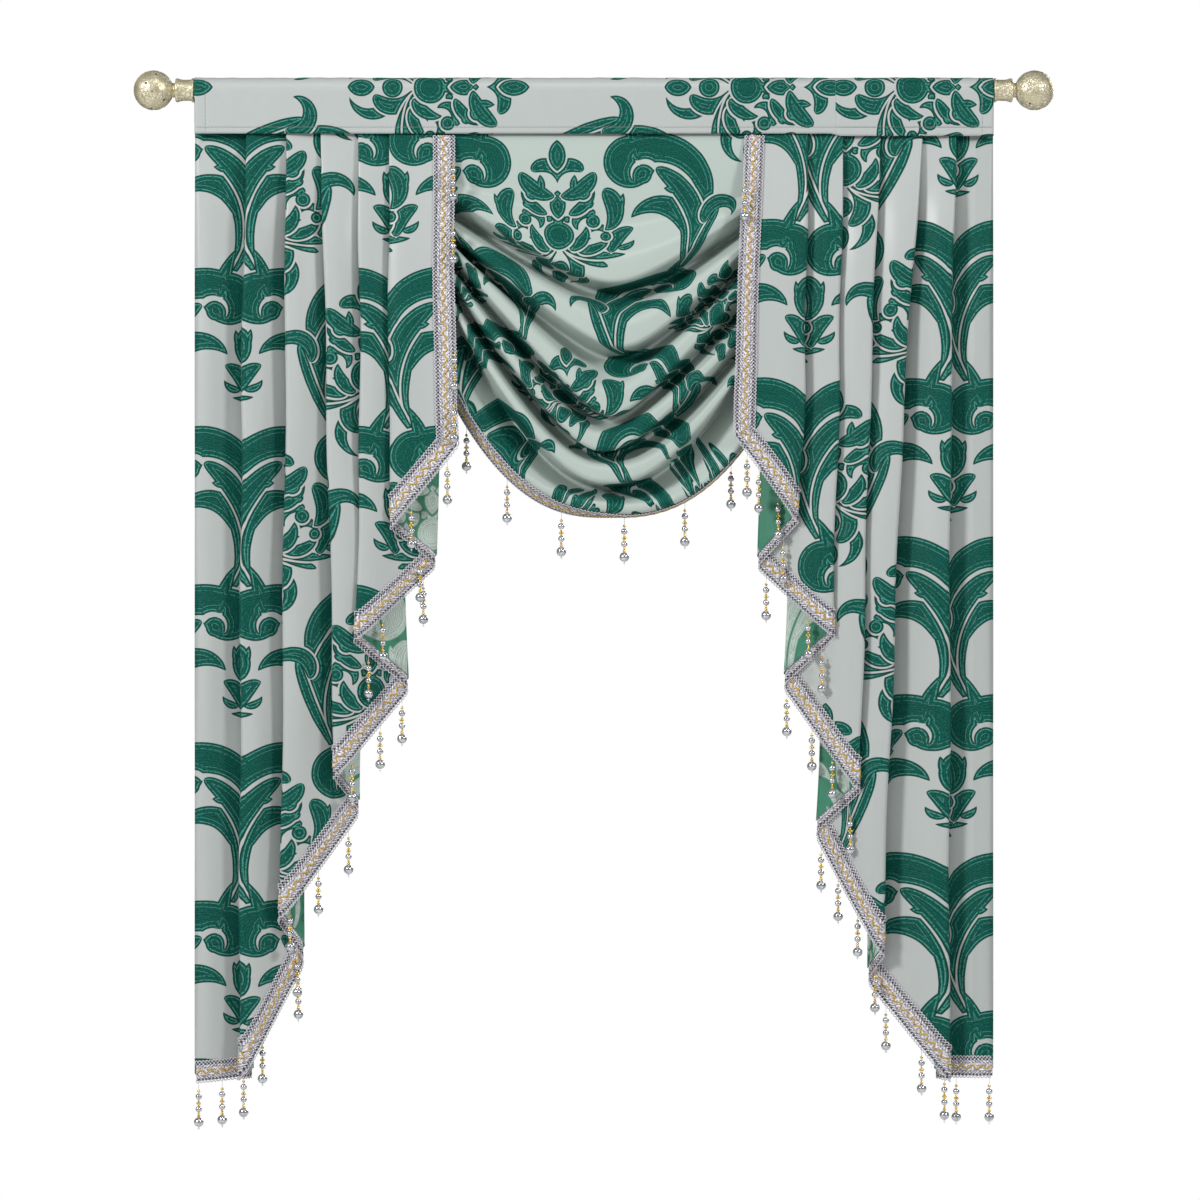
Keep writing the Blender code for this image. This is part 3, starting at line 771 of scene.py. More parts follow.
def make_mesh(
    name: str, points: Array, quads: Array, flat: Array | None = None, slots: Sequence[Material] = ()
) -> Piece:
    """Makes an object from whole arrays.

    Args:
        name: The piece's name.
        points: Vertices in millimetres, three numbers each.
        quads: Four vertex numbers a face.
        flat: For each vertex, its place on the flat cloth in millimetres, put in the UV map as metres.
        slots: Materials, in slot order.

    Returns:
        The object, linked to the scene and smooth.
    """
    mesh = bpy.data.meshes.new(name)
    vertices = points.reshape(-1, 3) * MM
    mesh.vertices.add(len(vertices))
    mesh.vertices.foreach_set("co", vertices.astype(np.float32).ravel())
    mesh.loops.add(quads.size)
    mesh.loops.foreach_set("vertex_index", quads.astype(np.int32).ravel())
    mesh.polygons.add(len(quads))
    mesh.polygons.foreach_set("loop_start", np.arange(0, quads.size, 4, dtype=np.int32))
    mesh.update(calc_edges=True)
    if flat is not None:
        layer = mesh.uv_layers.new(name="UVMap")
        places = flat.reshape(-1, 2)[quads.ravel()] * MM
        layer.data.foreach_set("uv", places.astype(np.float32).ravel())
    mesh.shade_smooth()
    piece = link(name, mesh)
    for material in slots:
        mesh.materials.append(material)
    return piece


def thicken(piece: Piece, thickness: float, reverse_slot: int = 0) -> None:
    """Gives a sheet its thickness in millimetres, half to each side, with its own reverse finish.

    Args:
        piece: The sheet.
        thickness: Its thickness in millimetres.
        reverse_slot: Material slot of the far side.
    """
    shell = piece.modifiers.new("thickness", "SOLIDIFY")
    shell.thickness = thickness * MM
    shell.offset = 0.0
    shell.material_offset = reverse_slot


def dress(piece: Piece, slot: str, replaced: str = "") -> Piece:
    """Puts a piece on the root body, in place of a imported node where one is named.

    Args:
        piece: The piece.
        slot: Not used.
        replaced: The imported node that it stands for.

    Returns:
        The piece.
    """
    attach(piece, "root")
    if replaced:
        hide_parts(replaced)
    return piece


def cut_cloth(
    name: str, node: str, grid: Array, flat: Array, sides: Sequence[Material], flip: bool = False
) -> Piece:
    """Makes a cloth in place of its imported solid.

    Args:
        name: The piece's name.
        node: The solid's node.
        grid: Points of the cloth's middle, rows by columns.
        flat: The same points' places on the flat cloth.
        sides: Materials of its right and wrong sides.
        flip: Whether its faces are turned over.

    Returns:
        The piece.
    """
    quads = grid_quads(*grid.shape[:2])
    piece = make_mesh(name, grid, quads[:, ::-1] if flip else quads, flat, sides)
    thicken(piece, CLOTH, 1)
    return dress(piece, node + "_cloth", node)


def circle(corners: int) -> tuple[Array, Array, Array]:
    """Evenly spaced angles round a circle, with their cosines and sines."""
    turn = np.linspace(0, TURN, corners, endpoint=False)
    return turn, np.cos(turn), np.sin(turn)


def level_ring(radius: float, first: float) -> Array:
    """Three points evenly round a level circle, from an angle in degrees."""
    turn = np.radians([first, first + 120, first + 240])
    return np.stack([np.cos(turn), np.sin(turn), 0 * turn], 1) * radius


def tube(
    name: str, path: Array, normal: Array, radius: float, corners: int, finish: Material
) -> Piece:
    """Makes a thread: a small ring carried along a path.

    Args:
        name: The piece's name.
        path: The thread's middle, in millimetres.
        normal: A direction away from what the thread lies on, at each point.
        radius: The thread's radius.
        corners: Corners of the ring.
        finish: Its material.

    Returns:
        The piece, with its length and its way round as its flat place.
    """
    tangent = unit(np.gradient(path, axis=0))
    side = unit(np.cross(tangent, normal))
    up = np.cross(side, tangent)
    turn, cosine, sine = circle(corners)
    ring = cosine[None, :, None] * side[:, None, :] + sine[None, :, None] * up[:, None, :]
    along = lengths_along(path)[:, None] + 0 * turn[None, :]
    around = np.broadcast_to(turn[None, :] / TURN, along.shape)
    quads = grid_quads(*along.shape, close=True)[:, ::-1]
    flat = np.stack([along, around], -1)
    return make_mesh(name, path[:, None, :] + radius * ring, quads, flat, (finish,))


def scatter(name: str, forms: Array, faces: Array, finish: Material) -> Piece:
    """Makes one piece of many small forms whose faces are numbered alike.

    Args:
        name: The piece's name.
        forms: The points of each form.
        faces: Point numbers of one form's faces.
        finish: Its material.

    Returns:
        The piece.
    """
    corners = forms[0].size // 3
    quads = (faces[None] + (np.arange(len(forms)) * corners)[:, None, None]).reshape(-1, 4)
    return make_mesh(name, forms, quads, None, (finish,))


def left_of(heading: Array) -> Array:
    """The left normal of a heading in a plane."""
    return np.stack([-np.sin(heading), np.cos(heading)], axis=-1)


def belt(
    start: Array,
    circles: Sequence[tuple[Array, Array]],
    end: Array,
    arc_steps: int,
    cuts: Sequence[Array],
) -> tuple[Array, Array, list[int]]:
    """Follows many belts at once from start, round each circle in turn, to end.

    A belt leaves one circle and meets the next along their common tangent, whose heading is the line of
    centres' heading plus asin((r1 - r2) / distance). A plus radius turns left and a minus one right.

    Args:
        start: First points, one row a belt.
        circles: Centres and signed radii, one row a belt.
        end: Last points.
        arc_steps: Steps round each circle.
        cuts: For each straight run, the shares of its length at which it is cut.

    Returns:
        Points and left normals with a row for each belt, and the columns at the circles' middles.
    """
    stops = [(start, np.zeros(len(start))), *circles, (end, np.zeros(len(end)))]
    headings = []
    for (c1, r1), (c2, r2) in zip(stops, stops[1:]):
        span = c2 - c1
        headings.append(np.arctan2(span[:, 1], span[:, 0]) + np.arcsin((r1 - r2) / np.hypot(*span.T)))
    points, normals, middles = [], [], []
    for i, heading in enumerate(headings):
        (centre, radius), (ahead, ahead_radius) = stops[i : i + 2]
        last = i == len(headings) - 1
        begin = centre - radius[:, None] * left_of(heading)
        finish = ahead - ahead_radius[:, None] * left_of(heading)
        for share in np.concatenate([[] if i else [0.0], cuts[i], [1.0] if last else []]):
            points.append(begin + share * (finish - begin))
            normals.append(left_of(heading))
        if last:
            break
        turn = np.remainder(headings[i + 1] - heading + math.pi, TURN) - math.pi
        wrong = (turn * ahead_radius < 0) & (np.abs(turn) > 1)
        turn = turn + wrong * np.sign(ahead_radius) * TURN
        middles.append(len(points) + arc_steps // 2)
        for k in range(arc_steps + 1):
            at = heading + turn * k / arc_steps
            points.append(ahead - ahead_radius[:, None] * left_of(at))
            normals.append(left_of(at))
    return np.stack(points, axis=1), np.stack(normals, axis=1), middles


def run_cuts(length: float, pitch: float) -> Array:
    """Even shares that cut a run into steps of about pitch."""
    count = max(int(round(length / pitch)), 1)
    return np.arange(1, count) / count


# ------------------------------------------------------------------ tails


@dataclass(frozen=True)
class Pleat:
    """One fold of a tail, or a side edge. inward_* is its distance from the tail's outer edge."""

    inward_top: float
    inward_middle: float
    inward_low: float
    depth_top: float
    depth_open: float
    radius_open: float
    hem: float

    def inward(self, drop: Array) -> Array:
        """The fold's line bends once, where the pleats stop opening out.

        Args:
            drop: Distances below the pole axis.

        Returns:
            How far the fold has moved towards the middle.
        """
        opening = (drop - TOP_DROP) / (OPENED_DROP - TOP_DROP)
        falling = (drop - OPENED_DROP) / (self.hem - OPENED_DROP)
        above = self.inward_top + opening * (self.inward_middle - self.inward_top)
        below = self.inward_middle + falling * (self.inward_low - self.inward_middle)
        return np.where(drop < OPENED_DROP, above, below)


# each tail's inner edge, then a front fold and a back fold in turn, then its outer edge
LEFT_PLEATS = (
    Pleat(324, 326, 330, -5.0, -25.0, 0.0, 446),
    Pleat(244, 244, 248, -5.2, -15.0, 3.0, 548),
    Pleat(306, 305, 303, 3.2, 9.0, 4.0, 595),
    Pleat(205, 208, 203, -5.0, -14.8, 3.0, 688),
    Pleat(256, 258, 267, 3.2, 8.5, 4.0, 751),
    Pleat(158, 166, 176, -5.0, -12.6, 3.2, 859),
    Pleat(209, 207, 207, 3.2, 9.5, 4.0, 904),
    Pleat(115, 114, 108, -4.8, -12.0, 3.4, 1037),
    Pleat(142, 140, 137, 3.0, 8.0, 4.0, 1092),
    Pleat(65, 59, 56, -4.6, -10.0, 3.4, 1238),
    Pleat(80, 75, 73, 2.8, 5.0, 3.6, 1236),
    Pleat(0, 0, 0, 0.0, -3.0, 0.0, 1242),
)
RIGHT_PLEATS = (
    Pleat(309, 325, 325, -5.0, -25.0, 0.0, 433),
    Pleat(232, 237, 246, -5.2, -15.5, 3.0, 541),
    Pleat(281, 291, 294, 3.2, 9.0, 4.0, 597),
    Pleat(188, 194, 202, -5.0, -13.0, 3.2, 683),
    Pleat(236, 250, 262, 3.2, 9.0, 4.0, 746),
    Pleat(141, 155, 168, -5.0, -13.5, 3.0, 876),
    Pleat(185, 200, 222, 3.2, 9.0, 4.0, 931),
    Pleat(88, 113, 140, -4.8, -12.5, 3.2, 1082),
    Pleat(121, 137, 158, 3.0, 8.0, 4.0, 1115),
    Pleat(46, 54, 56, -4.6, -11.0, 3.4, 1240),
    Pleat(62, 71, 73, 2.8, 4.0, 3.6, 1236),
    Pleat(0, 0, 0, 0.0, -2.0, 0.0, 1235),
)

# run of the cloth, reach from the tail's outer edge, and place across the pattern there
LEFT_REPEATS = (
    (0, 326, -140), (0, 244, -58), (2, 244, 77), (2, 208, 113), (4, 208, 252), (4, 166, 294),
    (6, 166, 414), (6, 114, 466), (8, 114, 607), (8, 59, 662), (10, 59, 808), (10, 0, 867),
)
RIGHT_REPEATS = (
    (0, 325, -158), (0, 237, -70), (2, 237, 58), (2, 194, 101), (4, 194, 248), (4, 155, 287),
    (6, 155, 424), (6, 113, 466), (8, 113, 603), (8, 54, 662), (10, 54, 798), (10, 0, 852),
)
LEFT_EDGE_BEADS = (84, 163, 314, 386)
LEFT_HEM_BEADS = {
    0: (317, 272), 1: (281,), 2: (286, 236), 3: (218,), 4: (259, 232, 197), 6: (192, 155, 120),
    7: (127,), 8: (129, 85, 62), 10: (34, 5),
}
RIGHT_EDGE_BEADS = (109,)
RIGHT_HEM_BEADS = {
    0: (309, 294, 270), 1: (263,), 2: (284, 232), 3: (215,), 4: (258, 227, 202), 5: (182,),
    6: (215, 194, 170), 7: (148,), 8: (134, 90, 62), 10: (46, 5),
}
SWAG_BEADS = (-160, -109, -41, 38, 114, 172)


@dataclass
class Band:
    """A ribbon of braid on a cloth: points and unit normals, with a row for each station along it.

    widths holds the distance of each column from the ribbon's outer edge.
    """

    points: Array
    normals: Array
    widths: Array
    stations: Array = field(init=False)
    length: float = field(init=False)

    def __post_init__(self) -> None:
        """Measures the ribbon along its middle."""
        self.stations = lengths_along(self.points[:, len(self.widths) // 2])
        self.length = float(self.stations[-1])

    def at(self, along: Array, across: Array, lift: Any = 0.0) -> tuple[Array, Array]:
        """Reads the ribbon.

        Args:
            along: Distances along the ribbon.
            across: Distances from its outer edge, which may lie a little outside it.
            lift: Distance off its face.

        Returns:
            Points and unit normals.
        """
        row, column = locate(self.stations, along), locate(self.widths, across)
        points, normals = read_table(self.points, self.normals, row, column)
        return points + normals * np.asarray(lift)[..., None], normals


@dataclass
class Tail:
    """One pleated tail: a single cloth in shingled pleats whose hem falls in a cascade."""

    name: str
    pleats: tuple[Pleat, ...]
    side: int
    braid_node: str
    edge_beads: tuple[float, ...]
    hem_beads: dict[int, tuple[float, ...]]
    repeats: tuple[tuple[int, float, float], ...]
    seed: int
    sides: Sequence[Material]
    lowest: float = 1256.0
    unopened: float = 4.0  # how far below the seam the folds begin to open out
    opened: float = 215.0
    bow: float = 5.5
    back_bow: float = 0.5
    swell_length: float = 390.0
    deepen: float = 3.5
    waver: float = 1.3
    pressed_radius: float = 1.2
    arc_steps: int = 8
    pitch: float = 6.5
    rows: int = 165
    level_count: int = 245
    levels: Array = field(init=False)
    along: Array = field(init=False)
    ends: list[int] = field(init=False)
    hem: Array = field(init=False)
    pattern: Array = field(init=False)
    surface: Array = field(init=False)
    facing: Array = field(init=False)

    def __post_init__(self) -> None:
        """Works out the whole surface by level and column.

        At each drop the cloth's outline in plan is a belt round the folds. Folds open out below the
        seam by an S-curve and waver by a sine of the drop. Each panel bows off its face by a half sine.
        """
        rng = np.random.default_rng(self.seed)
        self.levels = np.linspace(TOP_DROP, self.lowest, self.level_count)
        fully = self.opened - SEAM_DROP - self.unopened
        share = smooth_share(((self.levels - SEAM_DROP - self.unopened) / fully).clip(0, 1) ** 0.75)
        outer = len(self.pleats) - 1
        stops = []
        for k, pleat in enumerate(self.pleats):
            phase, wave = rng.uniform(0, TURN), rng.uniform(230, 420)
            inward = pleat.inward(self.levels)
            if k < outer:
                inward = inward + self.waver * share * np.sin(self.levels * TURN / wave + phase)
            bend = 0 if k in (0, outer) else 1 - 2 * (k % 2)  # 1 at a back fold and -1 at a front one
            deeper = self.deepen if bend > 0 else 0.0
            depth = pleat.depth_top + share * (pleat.depth_open + deeper - pleat.depth_top)
            radius = bend * (self.pressed_radius + share * (pleat.radius_open - self.pressed_radius))
            stops.append((np.stack([inward - radius, depth], axis=1), radius))
        spans = [abs(a.inward_middle - b.inward_middle) for a, b in zip(self.pleats, self.pleats[1:])]
        cuts = [run_cuts(span, self.pitch) for span in spans]
        points, normals, folds = belt(stops[0][0], stops[1:-1], stops[-1][0], self.arc_steps, cuts)
        self.ends = [0, *folds, points.shape[1] - 1]
        self.lay_pattern(points[int(np.searchsorted(self.levels, OPENED_DROP))])
        for k, (first, last) in enumerate(zip(self.ends, self.ends[1:])):
            panel = slice(first, last + 1)
            t = (self.along[panel] - self.along[first]) / (self.along[last] - self.along[first])
            phase = rng.uniform(0, TURN)
            swell = share * (1 + 0.35 * np.sin(self.levels * TURN / self.swell_length + phase))
            skew = np.sin(math.pi * t ** (2.8 + 0.3 * math.sin(phase)))
            push = (self.back_bow if k % 2 else self.bow) * swell[:, None] * skew[None, :]
            points[:, panel] += push[..., None] * normals[:, panel]
        x = self.side * (HALF_WIDTH - points[..., 0])
        z = np.broadcast_to(-self.levels[:, None], x.shape)
        self.surface = np.stack([x, points[..., 1], z], axis=-1)
        self.facing = np.stack([-self.side * normals[..., 0], normals[..., 1], 0 * x], axis=-1)

    def lay_pattern(self, outline: Array) -> None:
        """Measures the cloth, its hem and its place across the pattern along its opened outline.

        Args:
            outline: Points in plan, where the folds have opened out.
        """
        self.along = lengths_along(outline)
        self.hem = np.interp(self.along, self.along[self.ends], [pleat.hem for pleat in self.pleats])
        knots = []
        for run, reach, place in self.repeats:
            columns = slice(self.ends[run], self.ends[run + 1] + 1)
            order = np.argsort(outline[columns, 0])
            at = np.interp(reach, outline[columns, 0][order], self.along[columns][order])
            knots.append((at, place))
        self.pattern = np.interp(self.along, *zip(*knots))

    def at(self, along: Array, drop: Array) -> tuple[Array, Array]:
        """Points and unit face normals at places along the outline and drops below the pole's axis."""
        row, column = locate(self.levels, drop), locate(self.along, along)
        return read_table(self.surface, self.facing, row, column)

    def hem_at(self, along: Any) -> Any:
        """Drop of the braid's outer edge at a place along the flat cloth."""
        return np.interp(along, self.along, self.hem)

    def cloth(self) -> None:
        """Builds the cloth as rows spread evenly from the seam to the hem of each column."""
        columns = np.concatenate([[BRAID_OVERHANG], self.along[self.along > BRAID_OVERHANG + 1.0]])
        hem = self.hem_at(columns)
        bottom = hem - BRAID_OVERHANG * np.sqrt(1 + np.gradient(hem, columns) ** 2)
        drop = TOP_DROP + np.linspace(0, 1, self.rows)[:, None] * (bottom - TOP_DROP)[None, :]
        along = np.broadcast_to(columns[None, :], drop.shape)
        points, _ = self.at(along, drop)
        flat = np.stack([np.interp(along, self.along, self.pattern), drop], axis=-1)
        name = self.name + "_cloth"
        piece = cut_cloth(name, self.name, points, flat, self.sides, self.side < 0)

    def band(self) -> Band:
        """The braid's ribbon down the inner edge, round the corner and along the slanting hem.

        Its outer edge is a path on the flat cloth, and its width runs along the path's normal, which is
        smoothed so that the ribbon turns the corner in a small arc.

        Returns:
            The band.
        """
        down = np.arange(SEAM_DROP + 2, self.hem_at(0.0), 2.0)
        out = np.arange(0.0, self.along[-1] + 1, 2.0).clip(max=self.along[-1])
        path = np.concatenate([np.stack([0 * down, down], 1), np.stack([out, self.hem_at(out)], 1)])
        padded = np.pad(unit(np.gradient(path, axis=0)), ((4, 4), (0, 0)), mode="edge")
        kernel = np.ones(9) / 9
        eased = [np.convolve(padded[:, k], kernel, mode="valid") for k in range(2)]
        smooth = unit(np.stack(eased, axis=1))
        inner = np.stack([smooth[:, 1], -smooth[:, 0]], axis=1)
        widths = np.linspace(0, BRAID_WIDTH, 9)
        place = path[:, None, :] + widths[None, :, None] * inner[:, None, :]
        points, normals = self.at(place[..., 0].clip(0, self.along[-1]), place[..., 1])
        return Band(points + BRAID_OFFSET * normals, normals, widths)

    def roots(self) -> Array:
        """Where the beaded drops leave the braid's outer edge.

        Returns:
            One point a drop.
        """
        edge = np.array(self.edge_beads, dtype=float)
        points, normals = self.at(0 * edge, edge)
        found = [points + BRAID_OFFSET * normals]
        for run, inwards in self.hem_beads.items():
            along = np.linspace(self.along[self.ends[run]], self.along[self.ends[run + 1]], 60)
            points, normals = self.at(along, self.hem_at(along))
            line = points + BRAID_OFFSET * normals
            reach = HALF_WIDTH - line[:, 0] * self.side
            order = np.argsort(reach)
            found.append(trace(inwards, reach[order], line[order]))
        return np.concatenate(found)


# ------------------------------------------------------------------ swag


@dataclass(frozen=True)
class CowlFold:
    """The crest of one fold across the swag: its drop at both sides and at its lowest point.

    fullness is the radius of the cloth's swell above the crest, at the lowest point.
    """

    left: float
    low: float
    right: float
    low_x: float
    rounding: float
    power: float
    depth_side: float
    depth_middle: float
    fullness: float = 0.0

    def share(self, x: Array) -> Array:
        """How far each place along the pole is on the way from the sides to the lowest point.

        Args:
            x: Places along the pole.

        Returns:
            Zero at both ends and one at the lowest point, along a rounded V or a sagging curve.
        """
        side = np.where(x < self.low_x, Swag.LEFT, Swag.RIGHT)
        span = np.hypot(side - self.low_x, self.rounding) - self.rounding
        away = (np.hypot(x - self.low_x, self.rounding) - self.rounding) / span
        return 1 - away**self.power

    def between(self, x: Array, pair: Pair) -> Array:
        """A size that is the pair's first value at the sides and its second at the lowest point."""
        return pair[0] + self.share(x) * (pair[1] - pair[0])

    def drop(self, x: Array) -> Array:
        """Drop of the crest."""
        return self.between(x, (np.where(x < self.low_x, self.left, self.right), self.low))

    def depth(self, x: Array) -> Array:
        """Y of the crest's front."""
        return self.between(x, (self.depth_side, self.depth_middle))


@dataclass
class Swag:
    """The middle cloth: cowl folds that hang from side to side and a hem rolled to the back.

    A pair of sizes holds at the sides and at the lowest point, and hem_turn at the right and the left.
    """

    LEFT = -188.0
    RIGHT = 196.0
    FOLDS = (
        CowlFold(127, 236, 146, 24, 50, 1.0, -8.2, -31.0, 28.0),
        CowlFold(170, 317, 191, 34, 44, 1.0, -10.4, -35.0, 26.0),
        CowlFold(192, 402, 238, 22, 30, 1.0, -12.6, -37.0, 24.0),
        CowlFold(221, 446, 294, 12, 36, 1.1, -14.8, -38.0, 12.0),
        CowlFold(254, 486, 334, 20, 50, 1.3, -17.0, -36.0, 11.0),
    )
    HEM = CowlFold(368, 533, 434, 20, 10, 2.4, -8.0, -13.0)
    RUNS = (10, 4, *([2, 5, 8] * len(FOLDS)), 4)  # steps of each straight run from the top down

    sides: Sequence[Material]
    name: str = "swag"
    braid_node: str = "braid_swag"
    middle: float = 20.0
    top_depth: float = -3.45
    lean_above: Pair = (17.0, 72.0)
    lean_radius: Pair = (8.0, 20.0)
    side_fullness: float = 5.0
    swell_rise: float = 0.55  # how far a swell's middle is above its crest, in radii
    crest_radius: Pair = (3.5, 7.0)
    pocket_radius: Pair = (2.8, 4.0)
    pocket_behind: Pair = (28.0, 54.0)
    pocket_level: Pair = (0.46, 0.24)
    last_level: Pair = (0.12, 0.30)
    hem_roll: float = 7.0
    hem_turn: Pair = (4.0, 72.0)
    hem_ease: float = 0.6
    drop_inset: float = 0.3  # share of the braid's first step inwards at which the drops leave it
    columns: int = 150
    arc_steps: int = 8

    def sections(self, x: Array) -> tuple[Array, Array]:
        """Outlines in planes across the pole, one a row: a belt down round each crest and pocket.

        Args:
            x: Places along the pole.

        Returns:
            Points (X, Y, Z), and the direction (Y, Z) of the hem's last straight run.
        """
        first = self.FOLDS[0]
        radius = first.between(x, self.lean_radius)
        hung = first.drop(x) - first.between(x, self.lean_above)
        circles = [(np.stack([self.top_depth - radius, -hung], 1), -radius)]
        for fold, below in zip(self.FOLDS, (*self.FOLDS[1:], self.HEM)):
            swell = fold.between(x, (self.side_fullness, fold.fullness))
            height = self.swell_rise * swell - fold.drop(x)
            circles.append((np.stack([fold.depth(x) + swell, height], 1), swell))
            crest = fold.between(x, self.crest_radius)
            circles.append((np.stack([fold.depth(x) + crest, -fold.drop(x)], 1), crest))
            level = fold.between(x, self.last_level if below is self.HEM else self.pocket_level)
            drop = fold.drop(x) + level * (below.drop(x) - fold.drop(x))
            centre = np.stack([fold.depth(x) + fold.between(x, self.pocket_behind), -drop], 1)
            circles.append((centre, -fold.between(x, self.pocket_radius)))
        across = (x - self.LEFT) / (self.RIGHT - self.LEFT)
        faced = np.clip(1 - across / self.hem_ease, 0, 1) ** 1.2
        turn = np.radians(self.hem_turn[0] + faced * (self.hem_turn[1] - self.hem_turn[0]))
        run = np.stack([np.cos(turn), -np.sin(turn)], 1)
        under = np.stack([-np.sin(turn), -np.cos(turn)], 1)
        flat = BRAID_WIDTH - BRAID_OVERHANG + 2.0
        rise = self.hem_roll * np.cos(turn) + (flat + BRAID_OVERHANG) * np.sin(turn)
        centre = np.stack([self.HEM.depth(x), -self.HEM.drop(x) + rise], 1)
        circles.append((centre, np.full_like(x, self.hem_roll)))
        end = centre + self.hem_roll * under + flat * run
        start = np.stack([np.full_like(x, self.top_depth), np.full_like(x, -TOP_DROP)], 1)
        cuts = [np.arange(1, steps) / steps for steps in self.RUNS]
        points, _, _ = belt(start, circles, end, self.arc_steps, cuts)
        return with_x(x, points), run

    def cloth(self) -> None:
        """Builds the cloth with rows down it and columns across it, flat place from its own lengths."""
        x = np.linspace(self.LEFT, self.RIGHT, self.columns)
        grid = self.sections(x)[0].transpose(1, 0, 2)
        down = lengths_along(grid)
        across = lengths_along(grid.transpose(1, 0, 2)).transpose(1, 0)
        centre = int(np.argmin(np.abs(x - self.middle)))
        across = across - across[:, centre : centre + 1] + x[centre]
        piece = cut_cloth("swag_drape", self.name, grid, np.stack([across, down], -1), self.sides)

    def band(self) -> Band:
        """The braid's ribbon on the rolled hem: a straight strip along each section's last run.

        Returns:
            The band.
        """
        x = np.linspace(self.LEFT, self.RIGHT, 200)
        sheet, run = self.sections(x)
        widths = np.linspace(0, BRAID_WIDTH, 5)
        reach = BRAID_OVERHANG - widths
        step = with_x(0 * x, run[:, None, :])
        points = sheet[:, -1][:, None, :] + reach[None, :, None] * step
        normals = grid_normals(points)
        normals *= -np.sign(normals[len(x) // 2, 2, 2])
        return Band(points + BRAID_OFFSET * normals, normals, widths)

    def roots(self) -> Array:
        """Where the beaded drops leave the ribbon, a little inside its outer edge."""
        points = self.band().points
        line = points[:, 0] * (1 - self.drop_inset) + points[:, 2] * self.drop_inset
        return trace(SWAG_BEADS, line[:, 0], line)


# ------------------------------------------------------------------ braid and beads


class Bead(Enum):
    """A kind of bead: its name, and its faces round it and from pole to pole."""

    GOLD = ("gold", 8, 5)
    PEARL = ("pearl", 14, 9)
    CLEAR = ("clear", 8, 5)


@dataclass(frozen=True)
class BraidFinishes:
    """The materials of a braid and its drops."""

    tape: Material
    silk: Material
    gold: Material
    thread: Material
    beads: dict[Bead, Material]


